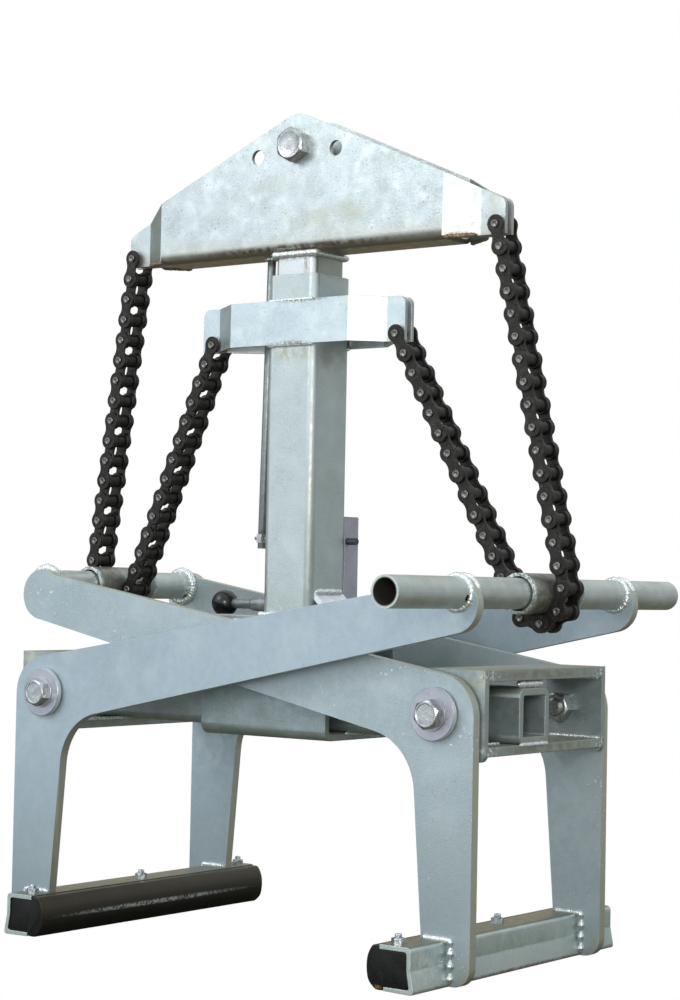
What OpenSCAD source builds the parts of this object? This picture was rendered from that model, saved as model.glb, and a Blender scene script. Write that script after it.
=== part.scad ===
// Lifting tongs for precast concrete blocks and kerbs.
// Two pairs of crossed lever plates turn on a beam frame. A sliding head pulls on two
// roller chains, and each chain runs round a sleeve on the far lever's cross tube, so a
// lift at the head closes the rubber-faced jaws.
// Millimetres, +Z up, ground at z = 0, x = 0 midway between the pivots.

/* [Overall] */
// Height of the lever pivots above the ground
pivot_z = 281.5; // [275:0.5:290]
// Distance between the two lever pivots
pivot_span = 536; // [520:2:560]
// Distance of the mast's middle plane in front of the levers' middle plane
mast_set = 21; // [12:1:24]

/* [Levers] */
// Width over the outer faces of the inner pair of lever plates
pair_w = 279; // [270:1:290]
// Distance between the outer faces of the inner and the outer pair, on each side
pair_step = 29; // [28:0.5:32]
// Thickness of the lever plates
lever_t = 12; // [10:0.5:13]
// Radius of the lever's rounded back round its pivot
hub_r = 47.3; // [44:0.1:50]
// Set of the hub's rounding from the pivot, outwards and down
hub_set = 2.3; // [0:0.1:4]
// Distance of the arm's end circle from the pivot, across
arm_x = 574.5; // [560:0.5:590]
// Height of the arm's end circle above the pivot
arm_z = 115; // [105:0.5:125]
// Radius of the arm's end
arm_end_r = 30; // [28:0.5:34]
// Distance of the arm's lower edge from the pivot, square to that edge
arm_root_r = 37.9; // [34:0.1:42]
// Distance of the leg's inner edge from the pivot, square to that edge
leg_edge = 32.6; // [28:0.1:36]
// Lean of the leg's inner edge, in degrees
leg_lean = 4.6; // [3:0.1:6]
// Fillet between leg and arm
fillet_r = 66; // [50:1:75]
// Rounding of the foot's outer corner
foot_r = 20; // [10:1:20]
// Height of the leg plates' lower ends above the ground
foot_up = 1; // [0.5:0.5:3]

/* [Cross tubes and sleeves] */
// Outer diameter of the cross tubes
tube_d = 33.7; // [32:0.1:35]
// Wall of the cross tubes
tube_t = 3.2; // [2.6:0.1:4]
// Distance of a cross tube past the middle of the arm's end circle
tube_past = 5.3; // [0:0.1:8]
// Height of a cross tube above the middle of the arm's end circle
tube_up = 12.5; // [8:0.5:16]
// Length of the handle in front of the outer plates
handle_front = 129; // [100:1:140]
// Length of the handle behind the outer plates
handle_back = 111; // [100:1:140]
// Outer diameter of the chain sleeves
sleeve_d = 44.5; // [43:0.1:46]
// Wall of the chain sleeves
sleeve_t = 3.6; // [2.6:0.1:4]
// Length of the chain sleeves
sleeve_l = 104; // [90:1:120]
// Diameter of the drain holes beside the tubes' welds
drain_d = 8; // [5:0.5:9]

/* [Beam frame] */
// Width and height of the square core tube
core_w = 60; // [56:1:62]
// Wall of the core tube
core_t = 8; // [5:0.5:9]
// Length of the beam frame past each pivot
beam_past = 51.5; // [48:0.5:54]
// Width of an end ring along the beam
ring_l = 72.5; // [66:0.5:80]
// Thickness of a ring's bottom plate
ring_bottom_t = 10; // [8:0.5:12]
// Thickness of a ring's top plate
ring_top_t = 12; // [10:0.5:14]
// Gap between the core tube and a ring's top plate
ring_gap = 8.5; // [5:0.5:10]
// Thickness of a ring's cheeks
cheek_t = 8; // [6:0.5:10]
// Depth of the cheeks below the bottom plates
cheek_drop = 5.5; // [3:0.5:8]
// Rounding of the cheeks' lower corners
cheek_r = 8; // [4:0.5:12]
// Gap between the cheeks and the lever plates, filled by a washer
cheek_gap = 2.5; // [2:0.1:3]
// Height of the pivots above the core tube's middle
core_drop = 3.5; // [0:0.5:6]
// Length of the saddle trough under the mast
saddle_l = 180; // [150:2:220]
// Width of the saddle trough
saddle_w = 137; // [125:1:150]
// Height of the saddle trough
saddle_h = 132; // [125:1:134]
// Thickness of the saddle trough
saddle_t = 8; // [5:0.5:10]
// Outer bend radius of the saddle trough
saddle_r = 13; // [11:0.5:16]
// Thickness of the cover plate on the saddle
cover_t = 6; // [5:0.5:8]

/* [Mast] */
// Width of the square guide tube
guide_w = 70; // [68:1:72]
// Wall of the guide tube and of the slide tube
guide_t = 5; // [4:0.5:6]
// Outer corner radius of the guide tube
guide_r = 9; // [8:0.5:11]
// Gap between guide tube and slide tube on each side
guide_gap = 1; // [0.5:0.1:1.5]
// Gap between the guide tube's top and the head at rest
mast_gap = 26.5; // [20:0.5:30]
// Thickness of the stop plate on the core tube
stop_t = 6; // [5:0.5:8]
// Gap between stop plate and slide tube at rest
stop_gap = 0.3; // [0.2:0.1:0.5]
// Stroke of the head
stroke = 100; // [90:1:105]
// Width of the brace at the mast's foot
brace_w = 54; // [40:1:56]
// Height of the brace's upper end above the cover plate
brace_up = 28; // [20:0.5:32]
// Reach of the brace from the mast's side
brace_out = 30; // [22:1:40]

/* [Cross-arm] */
// Thickness of the cross-arm's plates
xarm_t = 5; // [4:0.5:6]
// Height of the cross-arm's plates
xarm_h = 51.5; // [45:0.5:60]
// Half length of the plates' flat middle
xarm_flat = 85.5; // [75:0.5:95]
// Distance of the lugs' start from the middle
xarm_lug = 123; // [118:0.5:128]
// Distance of the lugs' ends from the middle
xarm_end = 148; // [144:0.5:152]
// Set of both lugs to the left of the middle
xarm_set = 5; // [0:0.5:6]
// Radius of the upper corners of its lugs
xarm_r = 9; // [5:0.5:14]
// Distance of the chain pin from the middle
xarm_pin = 134.1; // [130:0.1:137]
// Height of the chain pin above the plates' lower edge
xarm_pin_up = 9; // [8:0.5:10]

/* [Head] */
// Width over the outer faces of the head's side plates
head_w = 61.2; // [58:0.2:66]
// Thickness of the head's sheet
head_t = 5; // [4:0.5:6]
// Outer bend radius of the head's folded bottom
fold_r = 12; // [9:0.5:14]
// Half length of the head's folded bottom
fold_half = 205; // [195:1:205]
// Distance of the first bend from the middle
head_bend = 206; // [205:0.5:210]
// Distance of the lugs' start from the middle
head_lug = 242.5; // [236:0.5:246]
// Distance of the lugs' ends from the middle
head_end = 274.3; // [273:0.1:290]
// Distance of the chain pin from the middle
head_pin = 265.3; // [262:0.1:268]
// Height of the chain pin above the folded bottom
head_pin_up = 14; // [13.5:0.5:18]
// Height of the plates' lower edge above the folded bottom, beside the fold
head_relief = 3; // [0:0.5:4]
// Height of the lifting bolt above the chain pins
head_rise = 110; // [105:1:120]
// Radius of the head's top round the lifting bolt
apex_r = 37; // [32:0.5:40]
// Slope of the head's top edges, in degrees
head_slope = 23.7; // [22:0.1:24]
// Corner radius of the head's lugs
lug_r = 11; // [8:0.5:14]
// Distance of the side holes from the middle
side_hole_x = 57; // [50:0.5:64]
// Depth of the side holes below the lifting bolt
side_hole_dz = 8.5; // [6:0.5:12]
// Diameter of the side holes
side_hole_d = 18; // [14:0.5:20]
// Width over the outer faces of a pair of chain lugs
lug_w = 17.5; // [17:0.1:18]
// Diameter of the holes for the chains' end pins
lug_hole_d = 9.8; // [9.7:0.1:10.2]

/* [Chain] */
// Pitch of the roller chain
pitch = 25.4; // [25:0.1:25.8]
// Links from the head to the sleeve
outer_links = 16; // [14:2:16]
// Links round the sleeve
wrap_links = 4; // [4:2:4]
// Links from the sleeve to the cross-arm
inner_links = 13; // [11:2:13]
// Diameter of the rollers
roller_d = 15.88; // [14:0.02:16]
// Width between the inner plates
chain_in = 17.02; // [16:0.02:18]
// Thickness of the inner plates
inner_t = 4.2; // [3.6:0.1:4.4]
// Thickness of the outer plates
outer_t = 3.1; // [2.8:0.1:3.5]
// Height of the plates
plate_h = 20.6; // [20:0.1:21]
// Height of the plates' waist
waist_h = 13.6; // [12:0.1:15]
// Diameter of the pins
pin_d = 8.28; // [8:0.02:8.3]
// Length of the pins
pin_l = 36.4; // [36:0.1:38]
// Play of a pin in its bush, all round
pin_play = 0.45; // [0.44:0.01:0.5]
// Play between inner and outer plates
plate_play = 0.4; // [0.36:0.01:0.5]
// Gap between the plates and the sleeve
sleeve_gap = 0.15; // [0.1:0.05:0.3]

/* [Jaws] */
// Length of the jaws past the outer lever plates
jaw_past = 36; // [30:0.5:50]
// Distance of the jaw's web outside the pivot
jaw_out = 18.3; // [16:0.1:22]
// Height of the jaw channels
jaw_h = 48; // [44:0.5:54]
// Thickness of the jaw channels
jaw_t = 5; // [4:0.5:6]
// Width of the top flange
flange_top = 38.9; // [36:0.1:42]
// Width of the bottom flange
flange_bottom = 38; // [36:0.1:42]
// Outward set of the web's lower half at the ground
web_kink = 4.7; // [3:0.1:6]
// Reach of the rubber pad inside the jaw's web, to the top of its bulge
pad_reach = 56.6; // [52:0.1:60]
// Radius of the pad's bulge
pad_r = 21.7; // [20:0.1:24]
// Gap between pad and channel
pad_gap = 0.2; // [0.1:0.1:0.5]
// Distance of the outer studs past the outer lever plates
stud_past = 20.5; // [15:0.5:26]
// Distance of the studs inside the web's outer face
stud_in = 26; // [22:0.5:28]
// Depth of the studs' plates in the rubber
stud_depth = 12; // [8:0.5:14]

/* [Fasteners] */
// Diameter of the pivot bolts
pivot_d = 20; // [18:1:20]
// Running clearance of the pivots, on the radius
pivot_play = 0.06; // [0.02:0.01:0.09]
// Side play of the levers between their washers
side_play = 0.1; // [0.05:0.05:0.2]
// Outer diameter of the large pivot washers
big_washer_d = 56; // [50:1:58]
// Thickness of the large pivot washers
big_washer_t = 5; // [4:0.5:6]
// Diameter of the lifting bolt
lift_d = 24; // [20:1:27]
// Diameter of the studs and of the latch bolt
small_d = 8; // [6:1:8]

/* [Rod, lock and latch] */
// Diameter of the control rod
rod_d = 10; // [8:0.5:12]
// Distance of the control rod from the mast's middle
rod_x = 57; // [54:0.5:64]
// Lean of the control rod away from the mast, in degrees
rod_lean = 1.1; // [0:0.1:1.5]
// Length of the control rod below the head
rod_l = 344; // [330:1:352]
// Diameter of the lock pin
lock_d = 12; // [10:0.5:12]
// Height of the lock pin above the pivots
lock_up = 108.7; // [107:0.5:118]
// Length of the lock pin's tapered bush
bush_l = 40; // [30:1:42]
// Distance of the ball knob from the mast's middle
knob_x = 118; // [112:1:130]
// Diameter of the ball knob
knob_d = 32; // [28:0.5:36]
// Depth of the latch housing behind the mast
latch_out = 31; // [28:0.5:38]
// Width of the latch housing
latch_w = 64; // [56:1:66]
// Thickness of the latch housing
latch_t = 5; // [4:0.5:6]
// Height of the latch housing
latch_h = 108.5; // [100:0.5:112]
// Height of the latch bolt above the pivots
latch_bolt_up = 184; // [180:0.5:190]
// Length of the latch bolt past the housing
latch_bolt_out = 13; // [8:0.5:16]
// Thickness of the latch pawl
pawl_w = 10; // [8:0.5:12]
// Length of the latch pawl
pawl_l = 21; // [19:0.5:22]

/* [Hidden] */
$fn = 64;

// Middle planes: the part is centred on the handle tube's length.
low_y = (handle_front - handle_back) / 2;
mast_y = low_y - mast_set;
pivot_x = pivot_span / 2;
narrow_out = pair_w / 2;
wide_out = narrow_out + pair_step;
tube_x = arm_x + tube_past;
tube_z = arm_z + tube_up;
jaw_l = 2 * (wide_out + jaw_past);
stud_pitch = wide_out + stud_past;

// Beam
beam_l = 2 * (pivot_x + beam_past);
core_y = mast_y - guide_w / 2 + core_w / 2;
core_mid_z = pivot_z - core_drop;
core_top_z = core_mid_z + core_w / 2;
core_low_z = core_mid_z - core_w / 2;
ring_top_z = core_top_z + ring_gap + ring_top_t;
cheek_low_z = core_low_z - ring_bottom_t - cheek_drop;
saddle_low_z = core_low_z - saddle_t;
cover_low_z = saddle_low_z + saddle_h;
cover_top_z = cover_low_z + cover_t;

// Pitch circle of the chain on its sleeve, seen from the front on the right-hand side
sleeve_x = tube_x - pivot_x;
sleeve_z = pivot_z + tube_z;
wrap_r = sleeve_d / 2 + plate_h / 2 + sleeve_gap;
wrap_step = 2 * asin(pitch / 2 / wrap_r);
// The runs lean back from the mast's plane to the levers', and one link takes half of it
outer_lean = asin(mast_set / ((outer_links - 0.5) * pitch));
inner_lean = asin(mast_set / ((inner_links - 0.5) * pitch));
function run_length(links, lean) = pitch * ((links - 1) * cos(lean) + cos(lean / 2));
outer_run = run_length(outer_links, outer_lean);
inner_run = run_length(inner_links, inner_lean);
// Angle at which the outer run leaves the circle as a tangent
outer_tilt = acos((head_pin - sleeve_x) / norm([wrap_r, outer_run])) - atan2(outer_run, wrap_r);
wrap_end = outer_tilt - wrap_links * wrap_step;
function on_wrap(a) = [sleeve_x + wrap_r * cos(a), sleeve_z + wrap_r * sin(a)];
wrap_first = on_wrap(outer_tilt);
wrap_last = on_wrap(wrap_end);
inner_tilt = asin((wrap_last.x - xarm_pin) / inner_run);

// Head and mast heights follow from the chains
head_pin_z = wrap_first.y + outer_run * cos(outer_tilt);
head_low_z = head_pin_z - head_pin_up;
lift_z = head_pin_z + head_rise;
guide_top_z = head_low_z - mast_gap;
xarm_low_z = wrap_last.y + inner_run * cos(inner_tilt) - xarm_pin_up;
slide_w = guide_w - 2 * guide_t - 2 * guide_gap;
slide_r = guide_t + 1.5;
slide_low_z = core_top_z + stop_t + stop_gap;

// Lever outline
arm_angle = atan2(arm_z, arm_x);
arm_length = norm([arm_x, arm_z]);
top_angle = arm_angle + acos((hub_r - arm_end_r) / arm_length);
low_angle = arm_angle - acos((arm_root_r - arm_end_r) / arm_length);
foot_top = jaw_h - pivot_z;
foot_fold = jaw_h / 2 - pivot_z;
foot_low = foot_up - pivot_z;

// Fasteners by the thread's diameter
function across_flats(d) = d == 24 ? 36 : d == 8 ? 13 : 1.5 * d;
function nut_h(d) = 0.8 * d;
function head_h(d) = 0.63 * d;
function washer_d(d) = 1.85 * d;
washer_t = 3;

// Latch
lock_z = pivot_z + lock_up;
latch_y = mast_y + guide_w / 2;
latch_bolt_z = pivot_z + latch_bolt_up;
latch_low_z = cover_top_z + 8;
latch_axis_y = latch_y + small_d / 2 + 2.5;
pawl_gap = 1;

function dir(a) = [cos(a), sin(a)];
// Point where the lines n1 * p = k1 and n2 * p = k2 cross
function crossing(n1, k1, n2, k2) =
    let (d = n1.x * n2.y - n1.y * n2.x)
    [(k1 * n2.y - k2 * n1.y) / d, (n1.x * k2 - n2.x * k1) / d];

// Flat shape standing in the XZ plane, thickness along Y about y = 0
module standing(t) {
    rotate([90, 0, 0]) linear_extrude(height = t, center = true) children();
}

// Cylinder along Y, from y = 0 to y = l
module rod_y(d, l) {
    rotate([-90, 0, 0]) cylinder(d = d, h = l);
}

// Cylinder along X, from x = 0 to x = l
module rod_x(d, l) {
    rotate([0, 90, 0]) cylinder(d = d, h = l);
}

module hex_prism(af, h) {
    cylinder(d = af / cos(30), h = h, $fn = 6);
}

// Hexagon bolt, underside of the head at z = 0, shank down to z = -l
module hex_bolt(d, l) {
    hex_prism(across_flats(d), head_h(d));
    translate([0, 0, -l]) cylinder(d = d, h = l);
}

// Hexagon nut from z = 0 up, with a small clearance on its thread
module hex_nut(d) {
    difference() {
        hex_prism(across_flats(d), nut_h(d));
        translate([0, 0, -1]) cylinder(d = d + 0.1, h = nut_h(d) + 2);
    }
}

module washer(d_out, d_in, t) {
    difference() {
        cylinder(d = d_out, h = t);
        translate([0, 0, -1]) cylinder(d = d_in, h = t + 2);
    }
}

module rounded_square(w, r) {
    square([w, w - 2 * r], center = true);
    square([w - 2 * r, w], center = true);
    for (x = [-1, 1], y = [-1, 1])
        translate([x, y] * (w / 2 - r)) circle(r);
}

module box_tube(w, t, r, l) {
    linear_extrude(height = l) difference() {
        rounded_square(w, r);
        rounded_square(w - 2 * t, r - t);
    }
}

// Filled U, w wide, open side up at y = h, bends of radius r at the bottom corners;
// h is at least 2 * r
module u_fill(w, h, r) {
    translate([-w / 2, r]) square([w, h - r]);
    translate([-w / 2 + r, 0]) square([w - 2 * r, h]);
    for (x = [-1, 1])
        translate([x * (w / 2 - r), r]) circle(r);
}

module u_sheet(w, h, t, r) {
    difference() {
        u_fill(w, h, r);
        translate([0, t]) u_fill(w - 2 * t, h, r - t);
    }
}

// Plan of one plate that is flat in the middle and cranked in to a lug at each end.
// Outer face at y = y_flat, then at y = y_lug; both lugs stand x_set to the left
module cranked_plan(x_bend, x_lug, x_end, y_flat, y_lug, t, x_set = 0) {
    right = cranked_half(x_bend, x_lug - x_set, x_end - x_set, y_flat, y_lug, t);
    left = cranked_half(x_bend, x_lug + x_set, x_end + x_set, y_flat, y_lug, t);
    polygon(concat(right, [for (i = [len(left) - 1 : -1 : 0]) [-left[i].x, left[i].y]]));
}

function cranked_half(x_bend, x_lug, x_end, y_flat, y_lug, t) =
    let (miter = t * tan(atan2(y_flat - y_lug, x_lug - x_bend) / 2))
    [
        [x_bend - miter, y_flat - t], [x_lug - miter, y_lug - t], [x_end, y_lug - t],
        [x_end, y_lug], [x_lug, y_lug], [x_bend, y_flat]
    ];

// Beam frame

module core_tube() {
    color("#9aa6ab") translate([-beam_l / 2, core_y, core_mid_z])
        rotate([90, 0, 90]) box_tube(core_w, core_t, core_t + 2, beam_l);
}

// Top and bottom plate of one end ring, between cheeks with outer faces at +-out
module ring_plates(out) {
    x0 = beam_l / 2 - ring_l;
    depth = 2 * (out - cheek_t);
    for (p = [[core_low_z - ring_bottom_t, ring_bottom_t], [core_top_z + ring_gap, ring_top_t]])
        translate([x0, low_y - depth / 2, p[0]]) cube([ring_l, depth, p[1]]);
}

module cheeks(out) {
    x0 = beam_l / 2 - ring_l;
    h = ring_top_z - cheek_low_z;
    for (side = [-1, 1])
        translate([0, low_y + side * (out - cheek_t / 2), 0]) difference() {
            translate([x0 + ring_l / 2, 0, cheek_low_z]) standing(cheek_t)
                u_fill(ring_l, h, cheek_r);
            translate([pivot_x, -cheek_t, pivot_z])
                rod_y(pivot_d + 2 * pivot_play, 2 * cheek_t);
        }
}

module left_ring_plates() {
    color("#a9b5ba") mirror([1, 0, 0]) ring_plates(wide_out - lever_t - cheek_gap);
}

module right_ring_plates() {
    color("#a9b5ba") ring_plates(narrow_out - lever_t - cheek_gap);
}

module left_cheeks() {
    color("#b0bcc2") mirror([1, 0, 0]) cheeks(wide_out - lever_t - cheek_gap);
}

module right_cheeks() {
    color("#b0bcc2") cheeks(narrow_out - lever_t - cheek_gap);
}

// Folded trough that the core tube lies in, under the mast
module saddle() {
    color("#a3afb4") translate([-saddle_l / 2, core_y, saddle_low_z])
        rotate([90, 0, 90]) linear_extrude(height = saddle_l)
            u_sheet(saddle_w, saddle_h, saddle_t, saddle_r);
}

module saddle_cover() {
    color("#a3afb4") difference() {
        translate([-saddle_l / 2, core_y - saddle_w / 2, cover_low_z])
            cube([saddle_l, saddle_w, cover_t]);
        translate([0, mast_y, cover_low_z - 1]) linear_extrude(height = cover_t + 2)
            rounded_square(guide_w + 0.1, guide_r);
    }
}

// Sloping flat bar from the cover plate to the mast's right side
module foot_brace() {
    x0 = guide_w / 2;
    color("#a9a4b4") translate([0, mast_y, 0]) standing(brace_w) polygon([
        [x0, cover_top_z + brace_up], [x0, cover_top_z + brace_up - 1.4 * cover_t],
        [x0 + brace_out - 1.4 * cover_t, cover_top_z], [x0 + brace_out, cover_top_z]
    ]);
}

// Mast

module guide_tube() {
    color("#b5c1c7") difference() {
        translate([0, mast_y, core_top_z])
            box_tube(guide_w, guide_t, guide_r, guide_top_z - core_top_z);
        translate([-guide_w, mast_y, lock_z]) rod_x(lock_d + 0.2, guide_w);
        latch_window(0, guide_w / 2 - guide_t / 2, guide_t + 1);
    }
}

// Opening for the pawl's sweep, dz above its place at rest, in a wall round y
module latch_window(dz, y, wall) {
    translate([-pawl_w / 2 - 1, mast_y + y - wall / 2, latch_bolt_z - pawl_l - 4 + dz])
        cube([pawl_w + 2, wall, pawl_l + 8]);
}

module slide_stop() {
    inner_w = guide_w - 2 * guide_t;
    color("#8d989d") translate([0, mast_y, core_top_z]) linear_extrude(height = stop_t)
        rounded_square(inner_w - 0.2, guide_r - guide_t);
}

module corner_waste(r, w) {
    rotate([90, 0, 0]) linear_extrude(height = w) polygon(concat(
        [[1, -r], [1, 1], [-r, 1]], [for (a = [90 : -15 : 0]) [r * cos(a) - r, r * sin(a) - r]]
    ));
}

module cross_arm_plates() {
    y_flat = guide_w / 2 + xarm_t;
    color("#b9c5cb") translate([0, mast_y, xarm_low_z]) difference() {
        linear_extrude(height = xarm_h) for (m = [0, 1])
            mirror([0, m, 0])
                cranked_plan(xarm_flat, xarm_lug, xarm_end, y_flat, lug_w / 2, xarm_t, xarm_set);
        for (side = [-1, 1]) {
            translate([side * xarm_pin, -guide_w / 2, xarm_pin_up]) rod_y(lug_hole_d, guide_w);
            translate([side * xarm_end - xarm_set, guide_w / 2, xarm_h])
                mirror([side < 0 ? 1 : 0, 0, 0]) corner_waste(xarm_r, guide_w);
        }
    }
}

// Places a fastener at each pivot: z = 0 at the lever plate's outer face, z outwards
module at_pivots() {
    for (p = [[-1, wide_out], [1, narrow_out]], side = [-1, 1])
        translate([p[0] * pivot_x, low_y + side * p[1], pivot_z])
            rotate([-90 * side, 0, 0]) children();
}

washer_stack = side_play + big_washer_t + washer_t;
cheek_inner = lever_t + cheek_gap + cheek_t;

module pivot_bolts() {
    length = washer_stack + cheek_inner + nut_h(pivot_d) + 4;
    color("#aeb0bc") at_pivots() translate([0, 0, washer_stack]) hex_bolt(pivot_d, length);
}

module pivot_washers() {
    color("#b4b2c4") at_pivots() {
        translate([0, 0, side_play]) washer(big_washer_d, pivot_d + 1, big_washer_t);
        translate([0, 0, side_play + big_washer_t])
            washer(washer_d(pivot_d), pivot_d + 1, washer_t);
        translate([0, 0, -lever_t - cheek_gap])
            washer(washer_d(pivot_d), pivot_d + 1, cheek_gap - side_play);
    }
}

module pivot_nuts() {
    color("#aeb0bc") at_pivots() translate([0, 0, -cheek_inner - nut_h(pivot_d)])
        hex_nut(pivot_d);
}

// Lock pin: pushed in, it stops the slide tube at either end of its stroke

module plunger_bush() {
    color("#4a4f55") translate([-guide_w / 2, mast_y, lock_z]) rotate([0, -90, 0])
        difference() {
            cylinder(d1 = 1.8 * lock_d, d2 = 1.35 * lock_d, h = bush_l);
            translate([0, 0, -1]) cylinder(d = lock_d + 0.12, h = bush_l + 2);
        }
}

lock_tip = guide_w / 2 - guide_t + 1;

module lock_pin() {
    color("#5a6066") translate([-knob_x, mast_y, lock_z]) rod_x(lock_d, knob_x - lock_tip);
}

module ball_knob() {
    bore = lock_d / 2 + 0.01;
    color("#17181a") translate([-knob_x, mast_y, lock_z]) rotate([0, 90, 0])
        rotate_extrude() difference() {
            circle(d = knob_d);
            translate([-knob_d, -knob_d]) square([knob_d, 2 * knob_d]);
            translate([-1, 0]) square([bore + 1, knob_d]);
        }
}

// Latch on the mast's back

module latch_housing() {
    color("#a9a4b8") difference() {
        translate([0, latch_y + latch_out, latch_low_z]) linear_extrude(height = latch_h)
            mirror([0, 1]) u_sheet(latch_w, latch_out, latch_t, latch_t + 1);
        translate([-latch_w, latch_axis_y, latch_bolt_z]) rod_x(small_d + 0.2, 2 * latch_w);
    }
}

module latch_bolt() {
    length = latch_w + latch_bolt_out;
    color("#33363a") translate([-latch_w / 2, latch_axis_y, latch_bolt_z])
        rotate([0, -90, 0]) hex_bolt(small_d, length);
}

module latch_nut() {
    color("#33363a") translate([latch_w / 2 - latch_t - nut_h(small_d), latch_axis_y, latch_bolt_z])
        rotate([0, 90, 0]) hex_nut(small_d);
}

module latch_pawl() {
    hub = small_d + 4;
    color("#8b8f95") translate([0, latch_axis_y, latch_bolt_z]) difference() {
        rotate([0, 90, 0]) linear_extrude(height = pawl_w, center = true) union() {
            circle(d = hub);
            polygon([[0, -hub / 2], [pawl_l, -hub / 2], [pawl_l, 0], [pawl_l / 2, hub / 2], [0, hub / 2]]);
        }
        translate([-pawl_w, 0, 0]) rod_x(small_d + 0.12, 2 * pawl_w);
    }
}

// Sliding head

// Side view of the head's plates, z = 0 at the folded bottom
module head_outline() {
    n = dir(90 - head_slope);
    lift = [0, head_pin_up + head_rise];
    edge_k = n * lift + apex_r;
    bend_top = (edge_k - n.x * head_bend) / n.y;
    crank = norm([head_lug - head_bend, head_w / 2 - lug_w / 2]);
    lug_top = bend_top - tan(head_slope) * crank;
    lug_k = n * [head_lug, lug_top];
    corner = crossing(n, lug_k - lug_r, [1, 0], head_end - lug_r);
    translate(lift) circle(apex_r);
    for (m = [0, 1]) mirror([m, 0]) {
        translate(corner) circle(lug_r);
        polygon([
            [0, head_relief], [head_end, head_relief], corner + [lug_r, 0], corner,
            corner + lug_r * n, [head_lug, lug_top], [head_bend, bend_top],
            lift + apex_r * n, lift
        ]);
    }
}

// One cranked side plate of the head, without the fold's zone
module head_plate() {
    lift_up = head_pin_up + head_rise;
    depth = head_w + 2;
    difference() {
        intersection() {
            linear_extrude(height = lift_up + apex_r + 1)
                cranked_plan(head_bend, head_lug, head_end, head_w / 2, lug_w / 2, head_t);
            standing(depth) head_outline();
        }
        translate([-fold_half, -depth / 2, -1])
            cube([2 * fold_half, depth, fold_r + 2]);
        translate([0, -depth / 2, lift_up]) rod_y(lift_d + 0.1, depth);
        for (side = [-1, 1]) {
            translate([side * side_hole_x, -depth / 2, lift_up - side_hole_dz])
                rod_y(side_hole_d, depth);
            translate([side * head_pin, -depth / 2, head_pin_up]) rod_y(lug_hole_d, depth);
        }
    }
}

module head_front_plate() {
    color("#c3cdd2") translate([0, mast_y, head_low_z]) mirror([0, 1, 0]) head_plate();
}

module head_back_plate() {
    color("#c3cdd2") translate([0, mast_y, head_low_z]) head_plate();
}

// Folded bottom that joins the side plates
module head_fold() {
    color("#c3cdd2") translate([0, mast_y, head_low_z]) intersection() {
        translate([-fold_half, 0, 0]) rotate([90, 0, 90])
            linear_extrude(height = 2 * fold_half)
                u_sheet(head_w, 2 * fold_r + 1, head_t, fold_r);
        translate([-fold_half - 1, -head_w, -1])
            cube([2 * fold_half + 2, 2 * head_w, fold_r + 2]);
    }
}

module slide_tube() {
    color("#c9d2d6") difference() {
        translate([0, mast_y, slide_low_z])
            box_tube(slide_w, guide_t, slide_r, head_low_z - slide_low_z);
        translate([-slide_w, mast_y, lock_z]) rod_x(lock_d + 1, slide_w);
        for (dz = [0, -stroke])
            latch_window(dz, slide_w / 2 - guide_t / 2, guide_t + 1);
    }
}

module lifting_bolt() {
    length = head_w + nut_h(lift_d) + 5;
    color("#b3b8bd") translate([0, mast_y - head_w / 2, lift_z])
        rotate([90, 0, 0]) hex_bolt(lift_d, length);
}

module lifting_nut() {
    color("#b3b8bd") translate([0, mast_y + head_w / 2, lift_z])
        rotate([-90, 0, 0]) hex_nut(lift_d);
}

rod_nut_up = 12;

module control_rod() {
    color("#8f969a") translate([-rod_x, mast_y, head_low_z]) difference() {
        rotate([0, rod_lean, 0]) translate([0, 0, -rod_l]) difference() {
            cylinder(d = rod_d, h = rod_l + 2);
            translate([-rod_d, 0, rod_nut_up]) rod_x(small_d / 2 + 0.1, 2 * rod_d);
        }
        translate([-rod_d, -rod_d, 0]) cube([2 * rod_d, 2 * rod_d, 4]);
    }
}

// Cross bolt in a small block on the rod's lower end
module rod_cross_bolt() {
    block = rod_d + 4;
    color("#3b3e42") translate([-rod_x, mast_y, head_low_z])
        rotate([0, rod_lean, 0]) translate([0, 0, rod_nut_up - rod_l])
        union() {
            difference() {
                cylinder(d = block, h = small_d + 2, center = true, $fn = 6);
                cylinder(d = rod_d + 0.05, h = 2 * block, center = true);
            }
            translate([-block / 2 - 3, 0, 0]) rod_x(small_d / 2, block + 4);
        }
}

// Levers

// Points on an arc about c, from angle a0 to a1
function arc(c, r, a0, a1) =
    let (n = ceil(abs(a1 - a0) / 6))
    [for (i = [0 : n]) c + r * dir(a0 + (a1 - a0) * i / n)];

// Side view of a lever plate: pivot at the origin, arm towards +x
module lever_outline() {
    arm_end = [arm_x, arm_z];
    leg_n = dir(-leg_lean);
    low_n = dir(low_angle);
    round_c = crossing(low_n, arm_root_r + fillet_r, leg_n, leg_edge + fillet_r);
    foot_in = (leg_edge - leg_n.y * foot_top) / leg_n.x;
    kink = web_kink * (foot_fold - foot_low) / (jaw_h / 2);
    foot_c = [foot_r - hub_r, foot_low + foot_r];
    hub_c = [-hub_set, -hub_set];
    top_n = dir(top_angle);
    end_angle = top_angle + acos((top_n * (hub_c - arm_end) + hub_r - hub_set) / arm_end_r);
    polygon(concat(
        arc(hub_c, hub_r - hub_set, top_angle, 180),
        arc(foot_c, foot_r, 180, 270),
        [[-jaw_out - kink, foot_low], [-jaw_out, foot_fold], [-jaw_out, foot_top]],
        [[foot_in, foot_top]],
        arc(round_c, fillet_r, 180 - leg_lean, 180 + low_angle),
        arc(arm_end, arm_end_r, low_angle, end_angle)
    ));
}

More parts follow.
